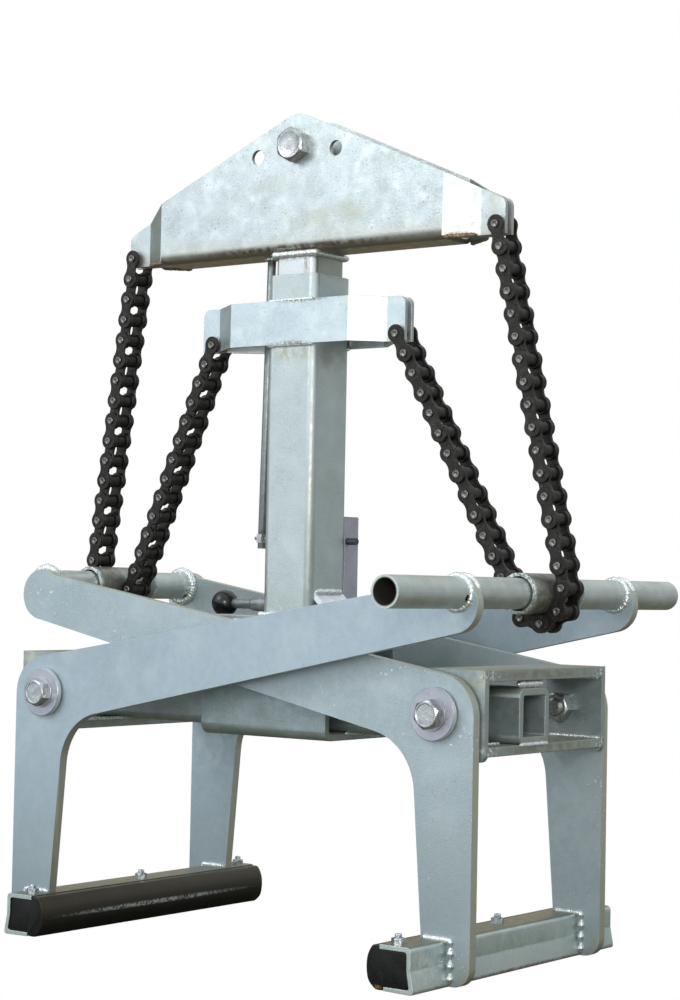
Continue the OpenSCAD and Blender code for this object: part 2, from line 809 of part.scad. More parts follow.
module lever_plate(y, tube_hole) {
    translate([-pivot_x, low_y + y, pivot_z]) difference() {
        standing(lever_t) lever_outline();
        translate([0, -lever_t, 0]) rod_y(pivot_d + 2 * pivot_play, 2 * lever_t);
        if (tube_hole)
            translate([tube_x, -lever_t, tube_z]) rod_y(tube_d + 0.1, 2 * lever_t);
    }
}

module left_lever_front() {
    color("#b2bfc6") lever_plate(-wide_out + lever_t / 2, true);
}

module left_lever_back() {
    color("#b2bfc6") lever_plate(wide_out - lever_t / 2, true);
}

module right_lever_front() {
    color("#b0bdc4") mirror([1, 0, 0]) lever_plate(-narrow_out + lever_t / 2, false);
}

module right_lever_back() {
    color("#b0bdc4") mirror([1, 0, 0]) lever_plate(narrow_out - lever_t / 2, false);
}

// Tube along Y between y0 and y1, about the sleeve's place on the right-hand side
module cross_tube(d, t, y0, y1) {
    translate([sleeve_x, low_y + y0, sleeve_z]) difference() {
        rod_y(d, y1 - y0);
        translate([0, -1, 0]) rod_y(d - 2 * t, y1 - y0 + 2);
    }
}

module left_lever_tube() {
    color("#bcc6c9") difference() {
        cross_tube(tube_d, tube_t, -wide_out - handle_front, wide_out + handle_back);
        translate([sleeve_x, low_y - wide_out - drain_d / 2 - 1, sleeve_z]) rotate([0, 20, 0])
            rod_x(drain_d, tube_d);
    }
}

module right_lever_tube() {
    inner = narrow_out - lever_t;
    color("#bcc6c9") mirror([1, 0, 0]) difference() {
        cross_tube(tube_d, tube_t, -inner, inner);
        translate([sleeve_x, low_y + inner - drain_d, sleeve_z]) rotate([0, 130, 0])
            rod_x(drain_d, tube_d);
    }
}

module sleeve() {
    cross_tube(sleeve_d, sleeve_t, -sleeve_l / 2, sleeve_l / 2);
}

module left_sleeve() {
    color("#8f979a") mirror([1, 0, 0]) sleeve();
}

module right_sleeve() {
    color("#8f979a") sleeve();
}

// Jaws, drawn for the left lever with x measured from its pivot and z from the ground

module jaw_section() {
    fold = jaw_h / 2;
    slope = web_kink / fold;
    inner = jaw_t - jaw_out;
    polygon([
        [flange_top - jaw_out, jaw_h], [-jaw_out, jaw_h], [-jaw_out, fold],
        [-jaw_out - web_kink, 0], [flange_bottom - jaw_out - web_kink, 0],
        [flange_bottom - jaw_out - web_kink, jaw_t], [inner - slope * (fold - jaw_t), jaw_t],
        [inner, fold], [inner, jaw_h - jaw_t], [flange_top - jaw_out, jaw_h - jaw_t]
    ]);
}

module pad_section() {
    low = jaw_t + pad_gap;
    high = jaw_h - jaw_t - pad_gap;
    back = jaw_t + pad_gap - jaw_out;
    centre_x = pad_reach - jaw_out - pad_r;
    intersection() {
        translate([back, low]) square([pad_reach, high - low]);
        union() {
            translate([back, low]) square([centre_x - back, high - low]);
            translate([centre_x, (low + high) / 2 - 1]) circle(pad_r);
        }
    }
}

// Places children at the three studs of a jaw, z = 0 on the ground
module at_studs() {
    for (i = [-1 : 1])
        translate([stud_in - jaw_out - pivot_x, low_y + i * stud_pitch, 0]) children();
}

module jaw_channel() {
    difference() {
        translate([-pivot_x, low_y, 0]) standing(jaw_l) jaw_section();
        at_studs() translate([0, 0, jaw_h - 2 * jaw_t]) cylinder(d = small_d + 1, h = 3 * jaw_t);
    }
}

module jaw_pad() {
    difference() {
        translate([-pivot_x, low_y, 0]) standing(jaw_l - 2) pad_section();
        at_studs() translate([0, 0, jaw_h - jaw_t - stud_depth - 0.1])
            cylinder(d = small_d + 0.1, h = jaw_h);
    }
}

module pad_studs() {
    at_studs() translate([0, 0, jaw_h - jaw_t - stud_depth])
        cylinder(d = small_d, h = jaw_t + stud_depth + nut_h(small_d) + 4);
}

module pad_nuts() {
    at_studs() translate([0, 0, jaw_h]) hex_nut(small_d);
}

module left_jaw_channel() {
    color("#aebbc2") jaw_channel();
}

module left_jaw_pad() {
    color("#232426") jaw_pad();
}

module left_pad_studs() {
    color("#c3c7c9") pad_studs();
}

module left_pad_nuts() {
    color("#c3c7c9") pad_nuts();
}

module right_jaw_channel() {
    color("#aebbc2") mirror([1, 0, 0]) jaw_channel();
}

module right_jaw_pad() {
    color("#232426") mirror([1, 0, 0]) jaw_pad();
}

module right_pad_studs() {
    color("#c3c7c9") mirror([1, 0, 0]) pad_studs();
}

module right_pad_nuts() {
    color("#c3c7c9") mirror([1, 0, 0]) pad_nuts();
}

// Roller chain. A link runs from its lower pin at the origin to its upper pin at z = pitch

// Figure-eight side plate: two round ends joined by a waist with hollow flanks
module link_plate(t) {
    side = 0.42 * plate_h;
    bite_r = 0.47 * pitch;
    standing(t) {
        circle(d = plate_h);
        translate([0, pitch]) circle(d = plate_h);
        difference() {
            translate([-side, 0]) square([2 * side, pitch]);
            for (m = [-1, 1])
                translate([m * (bite_r + waist_h / 2), pitch / 2]) circle(bite_r);
        }
    }
}

// Outer plates with their two pins
module pin_link() {
    y = chain_in / 2 + inner_t + plate_play + outer_t / 2;
    for (side = [-1, 1])
        translate([0, side * y, 0]) link_plate(outer_t);
    for (z = [0, pitch])
        translate([0, -pin_l / 2, z]) rod_y(pin_d, pin_l);
}

// Inner plates with their two bushes and rollers
module roller_link() {
    y = (chain_in + inner_t) / 2;
    width = chain_in + 2 * inner_t + 2;
    difference() {
        union() {
            for (side = [-1, 1])
                translate([0, side * y, 0]) link_plate(inner_t);
            for (z = [0, pitch])
                translate([0, -y, z]) rod_y(roller_d, 2 * y);
        }
        for (z = [0, pitch])
            translate([0, -width / 2, z]) rod_y(pin_d + 2 * pin_play, width);
    }
}

// Link by its number from the head: odd ones carry the pins
module chain_link(number) {
    if (number % 2 == 1)
        pin_link();
    else
        roller_link();
}

// Puts children at a point of the chain's plane, with z along the run
module on_run(p, tilt) {
    translate([p.x, low_y, p.y]) rotate([0, -tilt, 0]) children();
}

module chain_outer() {
    on_run(wrap_first, outer_tilt)
        translate([0, -pitch * sin(outer_lean / 2), pitch * cos(outer_lean / 2)])
            rotate([outer_lean, 0, 0]) for (i = [1 : outer_links - 1])
                translate([0, 0, (i - 1) * pitch]) chain_link(outer_links - i);
}

module chain_end() {
    on_run(wrap_first, outer_tilt) rotate([outer_lean / 2, 0, 0]) chain_link(outer_links);
}

module chain_wrap() {
    for (i = [1 : wrap_links])
        on_run(on_wrap(outer_tilt - i * wrap_step), outer_tilt - (i - 0.5) * wrap_step)
            chain_link(outer_links + i);
}

module chain_inner() {
    first = outer_links + wrap_links + 1;
    on_run(wrap_last, inner_tilt) {
        rotate([inner_lean / 2, 0, 0]) chain_link(first);
        translate([0, -pitch * sin(inner_lean / 2), pitch * cos(inner_lean / 2)])
            rotate([inner_lean, 0, 0]) for (i = [1 : inner_links - 1])
                translate([0, 0, (i - 1) * pitch]) chain_link(first + i);
    }
}

module left_chain_outer() {
    color("#2b2825") mirror([1, 0, 0]) chain_outer();
}

module left_chain_end() {
    color("#2b2825") mirror([1, 0, 0]) chain_end();
}

module left_chain_wrap() {
    color("#2b2825") mirror([1, 0, 0]) chain_wrap();
}

module left_chain_inner() {
    color("#2b2825") mirror([1, 0, 0]) chain_inner();
}

module right_chain_outer() {
    color("#2b2825") chain_outer();
}

module right_chain_end() {
    color("#2b2825") chain_end();
}

module right_chain_wrap() {
    color("#2b2825") chain_wrap();
}

module right_chain_inner() {
    color("#2b2825") chain_inner();
}

core_tube();
left_ring_plates();
right_ring_plates();
left_cheeks();
right_cheeks();
saddle();
saddle_cover();
foot_brace();
guide_tube();
slide_stop();
cross_arm_plates();
pivot_bolts();
pivot_washers();
pivot_nuts();
plunger_bush();
lock_pin();
ball_knob();
latch_housing();
latch_bolt();
latch_nut();
latch_pawl();
head_front_plate();
head_back_plate();
head_fold();
slide_tube();
lifting_bolt();
lifting_nut();
control_rod();
rod_cross_bolt();
left_lever_front();
left_lever_back();
left_lever_tube();
left_jaw_channel();
left_jaw_pad();
left_pad_studs();
left_pad_nuts();
right_lever_front();
right_lever_back();
right_lever_tube();
right_jaw_channel();
right_jaw_pad();
right_pad_studs();
right_pad_nuts();
left_sleeve();
right_sleeve();
left_chain_outer();
left_chain_end();
left_chain_wrap();
left_chain_inner();
right_chain_outer();
right_chain_end();
right_chain_wrap();
right_chain_inner();
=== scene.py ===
"""Precast concrete lifting tongs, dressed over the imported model: two pairs of crossed
lever plates on a beam frame, a sliding head on a square mast, two roller chains and
rubber-faced jaws. Metres, +Z up, the ground at z = 0. Shapes, marks and welds are given
in millimetres."""

import math

import bmesh
import bpy
import numpy as np
from mathutils import Matrix, Vector


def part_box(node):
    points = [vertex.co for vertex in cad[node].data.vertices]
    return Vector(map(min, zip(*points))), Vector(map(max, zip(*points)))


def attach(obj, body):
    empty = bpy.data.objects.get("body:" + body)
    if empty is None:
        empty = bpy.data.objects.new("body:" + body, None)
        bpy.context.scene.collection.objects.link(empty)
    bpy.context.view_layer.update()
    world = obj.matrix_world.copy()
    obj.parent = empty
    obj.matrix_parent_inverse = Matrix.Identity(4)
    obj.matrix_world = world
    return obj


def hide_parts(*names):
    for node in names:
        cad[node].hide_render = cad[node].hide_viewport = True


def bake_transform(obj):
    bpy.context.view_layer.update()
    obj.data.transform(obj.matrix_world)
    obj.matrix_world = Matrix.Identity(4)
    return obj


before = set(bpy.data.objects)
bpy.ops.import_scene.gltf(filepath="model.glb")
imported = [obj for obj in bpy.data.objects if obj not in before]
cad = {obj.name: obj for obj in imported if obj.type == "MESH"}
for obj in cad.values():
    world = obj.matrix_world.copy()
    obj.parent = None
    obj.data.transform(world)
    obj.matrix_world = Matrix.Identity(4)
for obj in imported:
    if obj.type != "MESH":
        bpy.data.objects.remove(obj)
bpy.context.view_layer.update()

# Studio
# The camera sees a white backdrop and a white floor. Every other ray meets a soft grey sky
# with bright and dark lobes, which the zinc mirrors, and an olive-brown floor. Two soft
# lamps, one high in front and one beside the camera, lift the faces that look their way.

# The camera's focal length and its picture's height in pixels, its place in metres, and its
# yaw, pitch and roll in degrees
FOCAL_PX, PICTURE_PX = 2197.93, 1000
CAMERA_AT, CAMERA_TURN = (1.55789, -2.04441, 0.41416), (36.57, 2.22, 1.12)
WHITE = "#FFFFFF"


def in_scene(name, data):
    """An object with that data, put in the scene."""
    made = bpy.data.objects.new(name, data)
    bpy.context.scene.collection.objects.link(made)
    return made


camera_data = bpy.data.cameras.new("camera")
camera_data.sensor_width = 36
camera_data.lens = FOCAL_PX / PICTURE_PX * camera_data.sensor_width
camera_data.clip_start, camera_data.clip_end = 0.05, 60
camera = in_scene("camera", camera_data)
yaw, pitch, roll = (math.radians(a) for a in CAMERA_TURN)
ahead = np.array([-math.sin(yaw) * math.cos(pitch), math.cos(yaw) * math.cos(pitch), math.sin(pitch)])
level_right = np.array([math.cos(yaw), math.sin(yaw), 0])
level_up = np.cross(level_right, ahead)
right = math.cos(roll) * level_right + math.sin(roll) * level_up
up = -math.sin(roll) * level_right + math.cos(roll) * level_up
turned_camera = Matrix(np.array([right, up, -ahead]).T.tolist()).to_4x4()
camera.matrix_world = Matrix.Translation(CAMERA_AT) @ turned_camera
bpy.context.scene.camera = camera
bpy.context.scene.view_settings.view_transform = "Standard"


def linear(hex_colour):
    """An sRGB hex colour as the linear RGBA that shaders take."""
    srgb = [int(hex_colour[i:i + 2], 16) / 255 for i in (1, 3, 5)]
    return [c / 12.92 if c <= 0.04045 else ((c + 0.055) / 1.055) ** 2.4 for c in srgb] + [1]


def add(tree, kind, links=None, out=0, **settings):
    """Adds a node of that kind with its settings, links or sets its inputs, and gives its
    output of that number or name, where it has one."""
    made = tree.nodes.new("ShaderNode" + kind)
    for key, value in settings.items():
        setattr(made, key, value)
    for key, value in (links or {}).items():
        if isinstance(value, bpy.types.NodeSocket):
            tree.links.new(value, made.inputs[key])
        else:
            made.inputs[key].default_value = value
    return made.outputs[out] if made.outputs else None


def laid(tree, under, hex_colour, *masks):
    """A colour laid over another, where the product of the masks is 1."""
    mask = masks[0]
    for other in masks[1:]:
        mask = add(tree, "Math", {0: mask, 1: other}, operation="MULTIPLY")
    return add(tree, "MixRGB", {0: mask, 1: under, 2: linear(hex_colour)})


# Each lobe of the surroundings: its direction, the cosines where it starts and where it
# is full, and its colour
LOBES = (
    ((0, 0, 1), 0.1, 0.9, "#D3D9DC"),              # overhead
    ((-0.55, -0.80, 0.22), 0.45, 0.93, "#E2ECF4"),  # wide and cool, in front
    ((-0.985, 0.17, 0), 0.62, 0.93, "#6A6F6C"),     # dark on the left
    ((-0.6, 0.8, 0.02), 0.7, 0.96, "#A19982"),      # warm, behind on the left
    ((0.553, -0.833, 0.04), 0.90, 0.968, WHITE),    # narrow and white, behind the camera
    ((0, 0, -1), 0.04, 0.45, "#4E4C3E"),            # the ground's dark
)
world = bpy.data.worlds.new("studio")
bpy.context.scene.world = world
world.use_nodes = True
sky = world.node_tree
sky.nodes.clear()
sky_way = add(sky, "TexCoord", out="Generated")
sky_colour = linear("#959B9C")
for lobe_way, start, full, colour in LOBES:
    nearness = add(sky, "VectorMath", {0: sky_way, 1: lobe_way}, "Value", operation="DOT_PRODUCT")
    mask = add(sky, "MapRange", {0: nearness, 1: start, 2: full}, interpolation_type="SMOOTHSTEP")
    sky_colour = laid(sky, sky_colour, colour, mask)
seen = add(sky, "LightPath", out="Is Camera Ray")
white = add(sky, "Background", {"Color": linear(WHITE), "Strength": 1.0})
soft = add(sky, "Background", {"Color": sky_colour, "Strength": 1.68})
add(sky, "OutputWorld", {"Surface": add(sky, "MixShader", {0: seen, 1: soft, 2: white})})


def lamp(name, place, size, power, colour):
    """A square soft lamp at place, in watts, turned to the middle of the tongs."""
    data = bpy.data.lights.new(name, "AREA")
    data.size, data.energy, data.color = size, power, linear(colour)[:3]
    made = in_scene(name, data)
    made.location = place
    made.rotation_euler = (Vector((0, 0, 0.5)) - Vector(place)).to_track_quat("-Z", "Y").to_euler()
    made.visible_camera = False


lamp("key_lamp", (-1.6, -2.6, 2.6), 1.4, 26, "#FFFDF8")
lamp("camera_lamp", (1.42, -2.15, 0.85), 0.6, 18, "#FFFEFA")


def new_material(name):
    """An empty node material and its tree."""
    material = bpy.data.materials.new(name)
    material.use_nodes = True
    material.node_tree.nodes.clear()
    return material, material.node_tree


# The floor fades to nothing between 0.55 and 1.5 m from the middle
FLOOR_HALF, FADE_FROM, FADE_TO = 2.0, 0.55, 1.5
floor_paint, tree = new_material("matte_white_floor")
on_floor = add(tree, "TexCoord", out="Object")
from_middle = add(tree, "VectorMath", {0: on_floor}, "Value", operation="LENGTH")
edge_fade = add(tree, "MapRange", {0: from_middle, 1: FADE_FROM, 2: FADE_TO},
                interpolation_type="SMOOTHSTEP")
camera_only = add(tree, "LightPath", out="Is Camera Ray")
paper = add(tree, "BsdfDiffuse", {"Color": linear("#6E6A58")})
white_paper = add(tree, "Emission", {"Color": linear(WHITE), "Strength": 1.0})
seen_paper = add(tree, "MixShader", {0: camera_only, 1: paper, 2: white_paper})
clear = add(tree, "BsdfTransparent")
floor_mix = add(tree, "MixShader", {0: edge_fade, 1: seen_paper, 2: clear})
add(tree, "OutputMaterial", {"Surface": floor_mix})
floor_mesh = bpy.data.meshes.new("floor")
SQUARE = ((-1, -1), (1, -1), (1, 1), (-1, 1))
floor_mesh.from_pydata([(x * FLOOR_HALF, y * FLOOR_HALF, 0) for x, y in SQUARE], [], [(0, 1, 2, 3)])
floor_mesh.materials.append(floor_paint)
floor = in_scene("floor", floor_mesh)
floor.location.z = -0.0005

# Lever plates
# 12 mm plates, laser cut to an L: smooth matt blue-grey faces, browner cut edges, a
# little darker towards the ground in painted shade and warmer there, brownish at the welded feet.

MM = 0.001
SIDES = ((-1, "left"), (1, "right"))

# Nearly every piece is steel, hot-dip galvanised or zinc plated: a matt grey-blue skin with
# a fine frosted grain, pale round the welds, with small dark dots where the zinc ran over
# spatter. A mark is laid on a material's colour; its places and sizes are in mm.


def noise(tree, at, size_mm, low, high, detail=3.0):
    """Noise with features of about size_mm, stretched so that low gives 0 and high 1."""
    raw = add(tree, "TexNoise", {"Vector": at, "Scale": 1 / (size_mm * MM), "Detail": detail})
    return add(tree, "MapRange", {0: raw, 1: low, 2: high}, interpolation_type="SMOOTHSTEP")


def blob(tree, at, centre, size, soft):
    """1 in an ellipsoid of half-axes size about centre, falling to 0 over its outer share
    soft: the length of (at - centre) / size, stretched."""
    middle, half = [c * MM for c in centre], [s * MM for s in size]
    shifted = add(tree, "VectorMath", {0: at, 1: middle}, operation="SUBTRACT")
    scaled = add(tree, "VectorMath", {0: shifted, 1: half}, operation="DIVIDE")
    reach = add(tree, "VectorMath", {0: scaled}, "Value", operation="LENGTH")
    return add(tree, "MapRange", {0: reach, 1: 1, 2: 1 - soft}, interpolation_type="SMOOTHSTEP")


def by_height(tree, none_mm, full_mm):
    """0 at one height above the ground and 1 at the other."""
    z = add(tree, "SeparateXYZ", {0: add(tree, "TexCoord", out="Object")}, "Z")
    return add(tree, "MapRange", {0: z, 1: none_mm * MM, 2: full_mm * MM},
               interpolation_type="SMOOTHSTEP")


def cut_edges_and_rim_highlight(hex_colour, amount):
    """Mark: a colour on the faces that don't look along y: browner laser-cut edges, and on the washers
    bright rims as a painted highlight.
    """
    def mark(tree, colour):
        look = add(tree, "SeparateXYZ", {0: add(tree, "TexCoord", out="Normal")}, "Y")
        flat = add(tree, "Math", {0: look}, operation="ABSOLUTE")
        edge = add(tree, "MapRange", {0: flat, 1: 0.8, 2: 0.4}, interpolation_type="SMOOTHSTEP")
        return laid(tree, colour, hex_colour, edge, amount)
    return mark


def shaded(low, high, hex_colour, amount):
    """Mark: a colour that comes in from the height low to the height high."""
    def mark(tree, colour):
        return laid(tree, colour, hex_colour, by_height(tree, low, high), amount)
    return mark


def stain_and_light_patch(centre, size, hex_colour, amount, broken_mm=6.0):
    """Mark: a patch of colour about a point, broken up by noise about broken_mm wide: a stain, and in a few
    places painted shade or a painted highlight.
    """
    def mark(tree, colour):
        at = add(tree, "TexCoord", out="Object")
        ragged = noise(tree, at, broken_mm, 0.35, 0.6, 5)
        return laid(tree, colour, hex_colour, blob(tree, at, centre, size, 0.7), ragged, amount)
    return mark


def ticks(amount):
    """Mark: a few small pale scratches and zinc pips, far apart."""
    def mark(tree, colour):
        at = add(tree, "TexCoord", out="Object")
        pips, groups = noise(tree, at, 3.4, 0.67, 0.72, 2), noise(tree, at, 60, 0.5, 0.6)
        return laid(tree, colour, "#E6ECEC", pips, groups, amount)
    return mark


def coat(name, base, shade, light, cloud_mm, roughness, metallic=0.8, marks=(), bump=0.25,
         specks=0.5, clouds=0.6):
    """A material: clouds of shade and light about cloud_mm wide, a frosted grain of pale
    crystals, dark pips in loose groups, marks laid on top, and a gloss and a relief that
    vary finely. Left as they are, its last values are those of hot-dip zinc."""
    material, tree = new_material(name)
    at = add(tree, "TexCoord", out="Object")
    colour = laid(tree, linear(base), shade, noise(tree, at, cloud_mm, 0.38, 0.72, 4), clouds)
    colour = laid(tree, colour, light, noise(tree, at, cloud_mm * 0.6, 0.45, 0.75, 5), clouds)
    colour = laid(tree, colour, light, noise(tree, at, 1.9, 0.52, 0.72, 2), 0.5)
    pips, groups = noise(tree, at, 2.7, 0.66, 0.74, 1), noise(tree, at, 30, 0.35, 0.6)
    colour = laid(tree, colour, "#5E5A50", pips, groups, specks)
    for mark in marks:
        colour = mark(tree, colour)
    gloss = add(tree, "MapRange", {0: noise(tree, at, 9, 0.3, 0.7, 4),
                                   3: roughness - 0.06, 4: roughness + 0.08})
    relief = add(tree, "Bump", {"Height": noise(tree, at, 1.4, 0.3, 0.7, 4), "Strength": bump,
                                "Distance": 0.3 * MM})
    shader = add(tree, "BsdfPrincipled", {"Base Color": colour, "Metallic": metallic,
                                          "Roughness": gloss, "Normal": relief})
    add(tree, "OutputMaterial", {"Surface": shader})
    return material


def soften(piece, edge_mm):
    """Rounds a piece's edges, where they turn by more than 35 degrees, by edge_mm."""
    bevel = piece.modifiers.new("edges", "BEVEL")
    bevel.width, bevel.segments = edge_mm * MM, 2
    bevel.limit_method, bevel.angle_limit = "ANGLE", math.radians(35)
    bevel.use_clamp_overlap = True
    bevel.harden_normals = True
    bevel.miter_outer = "MITER_ARC"


def dress(names, material, edge_mm=0.0):
    """Gives CAD nodes their material and rounds their edges by edge_mm."""
    for name in names:
        piece = cad[name]
        if not piece.material_slots:
            piece.data.materials.append(material)
        for held in piece.material_slots:
            held.material = material
        if edge_mm:
            piece.modifiers.new("joined", "WELD").merge_threshold = 2e-6
            soften(piece, edge_mm)


for side, name in SIDES:
    # The first mark is painted shade, darker towards the ground.
    plate_marks = [shaded(260, 0, "#8F9C9F", 0.5), cut_edges_and_rim_highlight("#B3B3A3", 0.85),
                   ticks(0.8 if side > 0 else 0.12),
                   stain_and_light_patch((side * 272, -155, 47), (34, 40, 9), "#B3A98F", 0.5),
                   stain_and_light_patch((side * 308, 0, 14), (12, 300, 26), "#A89C74", 0.5, 8)]
    plate = coat(f"matt_galvanised_plate_{name}", "#A9B5B9" if side > 0 else "#A9B7C0",
                 "#9FACB2", "#BCC7CA", cloud_mm=90, roughness=0.56, metallic=0.75,
                 marks=plate_marks, specks=0.2, clouds=0.5)
    dress([f"{name}_lever_front", f"{name}_lever_back"], plate, 0.9)

# Beam frame
# A square tube with ring ends and cheeks, and a saddle of bent sheet: greyer zinc, pale
# spatter inside the ring ends, painted shade in their hollows, brown dust on what faces up.


def facing(way, low, high, hex_colour, amount):
    """Mark: a colour on the faces that look the direction way: their normal's share along
    it, stretched so that low gives none and high the full amount."""
    def mark(tree, colour):
        normal = add(tree, "TexCoord", out="Normal")
        look = add(tree, "VectorMath", {0: normal, 1: way}, "Value", operation="DOT_PRODUCT")
        turned_there = add(tree, "MapRange", {0: look, 1: low, 2: high},
                           interpolation_type="SMOOTHSTEP")
        return laid(tree, colour, hex_colour, turned_there, amount)
    return mark


def spatter(centre, size):
    """Mark: pale zinc lumps and a few rusty dots about a weld."""
    def mark(tree, colour):
        at = add(tree, "TexCoord", out="Object")
        near = blob(tree, at, centre, size, 0.9)
        colour = laid(tree, colour, "#E3E9EA", near, noise(tree, at, 4.5, 0.5, 0.62, 2))
        return laid(tree, colour, "#5A3A2C", near, noise(tree, at, 3.0, 0.66, 0.7, 1))
    return mark


dusty = facing((0, 0, 1), 0.6, 0.95, "#A09A86", 0.65)
ring_marks = []
for s in (-1, 1):
    ring_marks += [stain_and_light_patch((s * 312, y, 322), (22, 6, 16), "#C6C0A4", 0.75, 14) for y in (-145, -116)]
    ring_marks += [spatter((s * 306, -17, 312), (20, 40, 9))]
    # Painted shade: dark teal in the hollows between the cheeks and the core tube
    ring_marks += [stain_and_light_patch((s * 283, y, 285), (50, 50, 34), "#5F706C", 0.6, 30) for y in (-80, 96)]
    ring_marks += [stain_and_light_patch((s * 320, 0, z), (5, 150, 7), "#857B66", 0.55, 9) for z in (243, 322)]
    ring_marks += [spatter((s * 317, y, z), (10, 26, 10)) for y in (-104, 122) for z in (244, 322)]
beam_zinc = coat("galvanised_beam", "#98A4A6", "#87938F", "#AEB8BA", cloud_mm=35, roughness=0.5,
                 marks=[dusty, cut_edges_and_rim_highlight("#9C9F92", 0.5), *ring_marks], specks=0.35)
dress(["core_tube", "left_ring_plates", "right_ring_plates", "left_cheeks", "right_cheeks",
       "saddle", "slide_stop"], beam_zinc, 1.0)
cover_zinc = coat("galvanised_saddle_cover", "#A7B0B4", "#98A2A6", "#BFC7CA", cloud_mm=30,
                  roughness=0.46, marks=[dusty])
dress(["saddle_cover"], cover_zinc, 0.8)

# Mast
# A square tube with smooth bright faces, pale round its welded foot, with painted shade
# on its right face under the cross-arm; the cross-arm's plates carry yellow run-off stains
# at their bends, burnt edges at the mast and a painted highlight on their right crank.

mast_zinc = coat("galvanised_square_tube", "#B3BCBC", "#A9B2B0", "#C7CECD", cloud_mm=60,
                 roughness=0.45, specks=0.25, clouds=0.5, marks=[
                     spatter((0, -12, 382), (60, 60, 12)),
                     stain_and_light_patch((0, -12, 772), (60, 60, 6), "#A59C84", 0.6),
                     # Painted shade on the mast's right face, under the cross-arm
                     stain_and_light_patch((36, -14, 678), (10, 44, 24), "#7F7860", 0.5, 34),
                     stain_and_light_patch((0, -47, 682), (50, 8, 14), "#A79E86", 0.6, 9),
                     stain_and_light_patch((33, -45, 540), (5, 6, 160), "#B9A98C", 0.35, 5)])
dress(["guide_tube"], mast_zinc, 0.5)
arm_zinc = coat("galvanised_cross_arm", "#BCC7CB", "#ABB6BB", "#D2DADC", cloud_mm=40,
                roughness=0.42, specks=0.3, marks=[
                    cut_edges_and_rim_highlight("#A79E88", 0.6),
                    stain_and_light_patch((92, -40, 700), (12, 20, 14), "#E2D6B0", 0.5, 4),
                    stain_and_light_patch((112, -30, 694), (26, 24, 5), "#CDBD92", 0.7, 4),
                    stain_and_light_patch((84, -48, 738), (8, 16, 7), "#D8C99C", 0.5, 4),
                    # Painted highlight: near white on the faces of the right crank
                    facing((0.64, -0.768, 0), 0.95, 0.985, "#F6F7F4", 0.75),
                    stain_and_light_patch((-100, -38, 697), (30, 24, 8), "#8A8168", 0.6, 4),
                    stain_and_light_patch((20, -52, 742), (52, 5, 4), "#6B5A44", 0.8, 3),
                    stain_and_light_patch((0, -52, 692), (44, 5, 4), "#75664E", 0.7, 3)])
dress(["cross_arm_plates"], arm_zinc, 0.8)
brace_zinc = coat("bright_brace", "#DADBE2", "#CBCCD6", "#ECEDF0", cloud_mm=20, roughness=0.4)
dress(["foot_brace"], brace_zinc, 0.7)

# Latch and plunger
# A lilac zinc housing with an oiled dark pawl and bolt behind the mast, and on its left a
# grey plunger with a glossy black ball knob.

latch_zinc = coat("zinc_latch_plate", "#AFADB9", "#A09EAB", "#C1C0C9", cloud_mm=40, roughness=0.5)
dress(["latch_housing"], latch_zinc, 0.7)
dark_steel = coat("dark_oiled_steel", "#4A4F53", "#3A3F43", "#656B6F", cloud_mm=15,
                  roughness=0.4, clouds=0.8)
dress(["latch_bolt", "latch_nut", "latch_pawl"], dark_steel, 0.4)
plunger_steel = coat("grey_plunger_steel", "#80878A", "#6E7578", "#9AA0A2", cloud_mm=15,
                     roughness=0.38, clouds=0.8)
dress(["plunger_bush", "lock_pin"], plunger_steel, 0.4)
knob_plastic = coat("black_knob", "#0E0F12", "#0B0C0E", "#15161A", cloud_mm=25, roughness=0.24,
                    metallic=0, specks=0, bump=0)
dress(["ball_knob"], knob_plastic)

# Head
# Folded 5 mm sheet, the brightest zinc on the tongs, speckled with warm grey, with a
# ragged brown edge along the fold and round its welded ends, and painted shade underneath
# and on its left crank; below it the bright slide tube, burnt at its weld, with painted
# shade on its right face, and the grey control rod.

head_marks = [cut_edges_and_rim_highlight("#A39B88", 0.55),
              shaded(828, 811, "#B3A98E", 0.28),
              shaded(812, 801, "#7A6C58", 0.35),
              stain_and_light_patch((0, -43, 804), (210, 10, 7), "#5F4A38", 0.85, 7),
              stain_and_light_patch((222, -30, 803), (22, 26, 5), "#5E503A", 0.8, 4),
              stain_and_light_patch((-222, -30, 803), (22, 26, 5), "#5E503A", 0.7, 4),
              stain_and_light_patch((60, -43, 838), (110, 10, 24), "#A7A899", 0.55, 24),
              stain_and_light_patch((-40, -43, 880), (60, 10, 16), "#B2B4AC", 0.4, 20),
              stain_and_light_patch((262, -20, 850), (12, 14, 40), "#B9AF93", 0.5, 6),
              # Painted shade on the faces that look down and on the left crank's faces
              facing((0, 0, -1), 0.5, 0.9, "#7C7460", 0.6),
              facing((-0.514, -0.858, 0), 0.95, 0.985, "#8F9590", 0.6)]
head_zinc = coat("bright_galvanised_head", "#BBC4C6", "#AAB1B1", "#D2D8D9", cloud_mm=34,
                 roughness=0.42, marks=head_marks, specks=0.6, clouds=0.8)
dress(["head_front_plate", "head_back_plate", "head_fold"], head_zinc)
slide_steel = coat("bright_slide_tube", "#C2C7C8", "#B0B5B6", "#D6DADA", cloud_mm=30,
                   roughness=0.36, marks=[stain_and_light_patch((0, -42, 793), (40, 12, 5), "#8A6A4A", 0.6, 3),
                                          # Painted shade on the slide tube's right face
                                          facing((1, 0, 0), 0.6, 0.9, "#7E7A62", 0.6),
                                          stain_and_light_patch((16, -42, 784), (4, 6, 14), "#7A5E42", 0.7, 3)])
dress(["slide_tube"], slide_steel, 0.5)
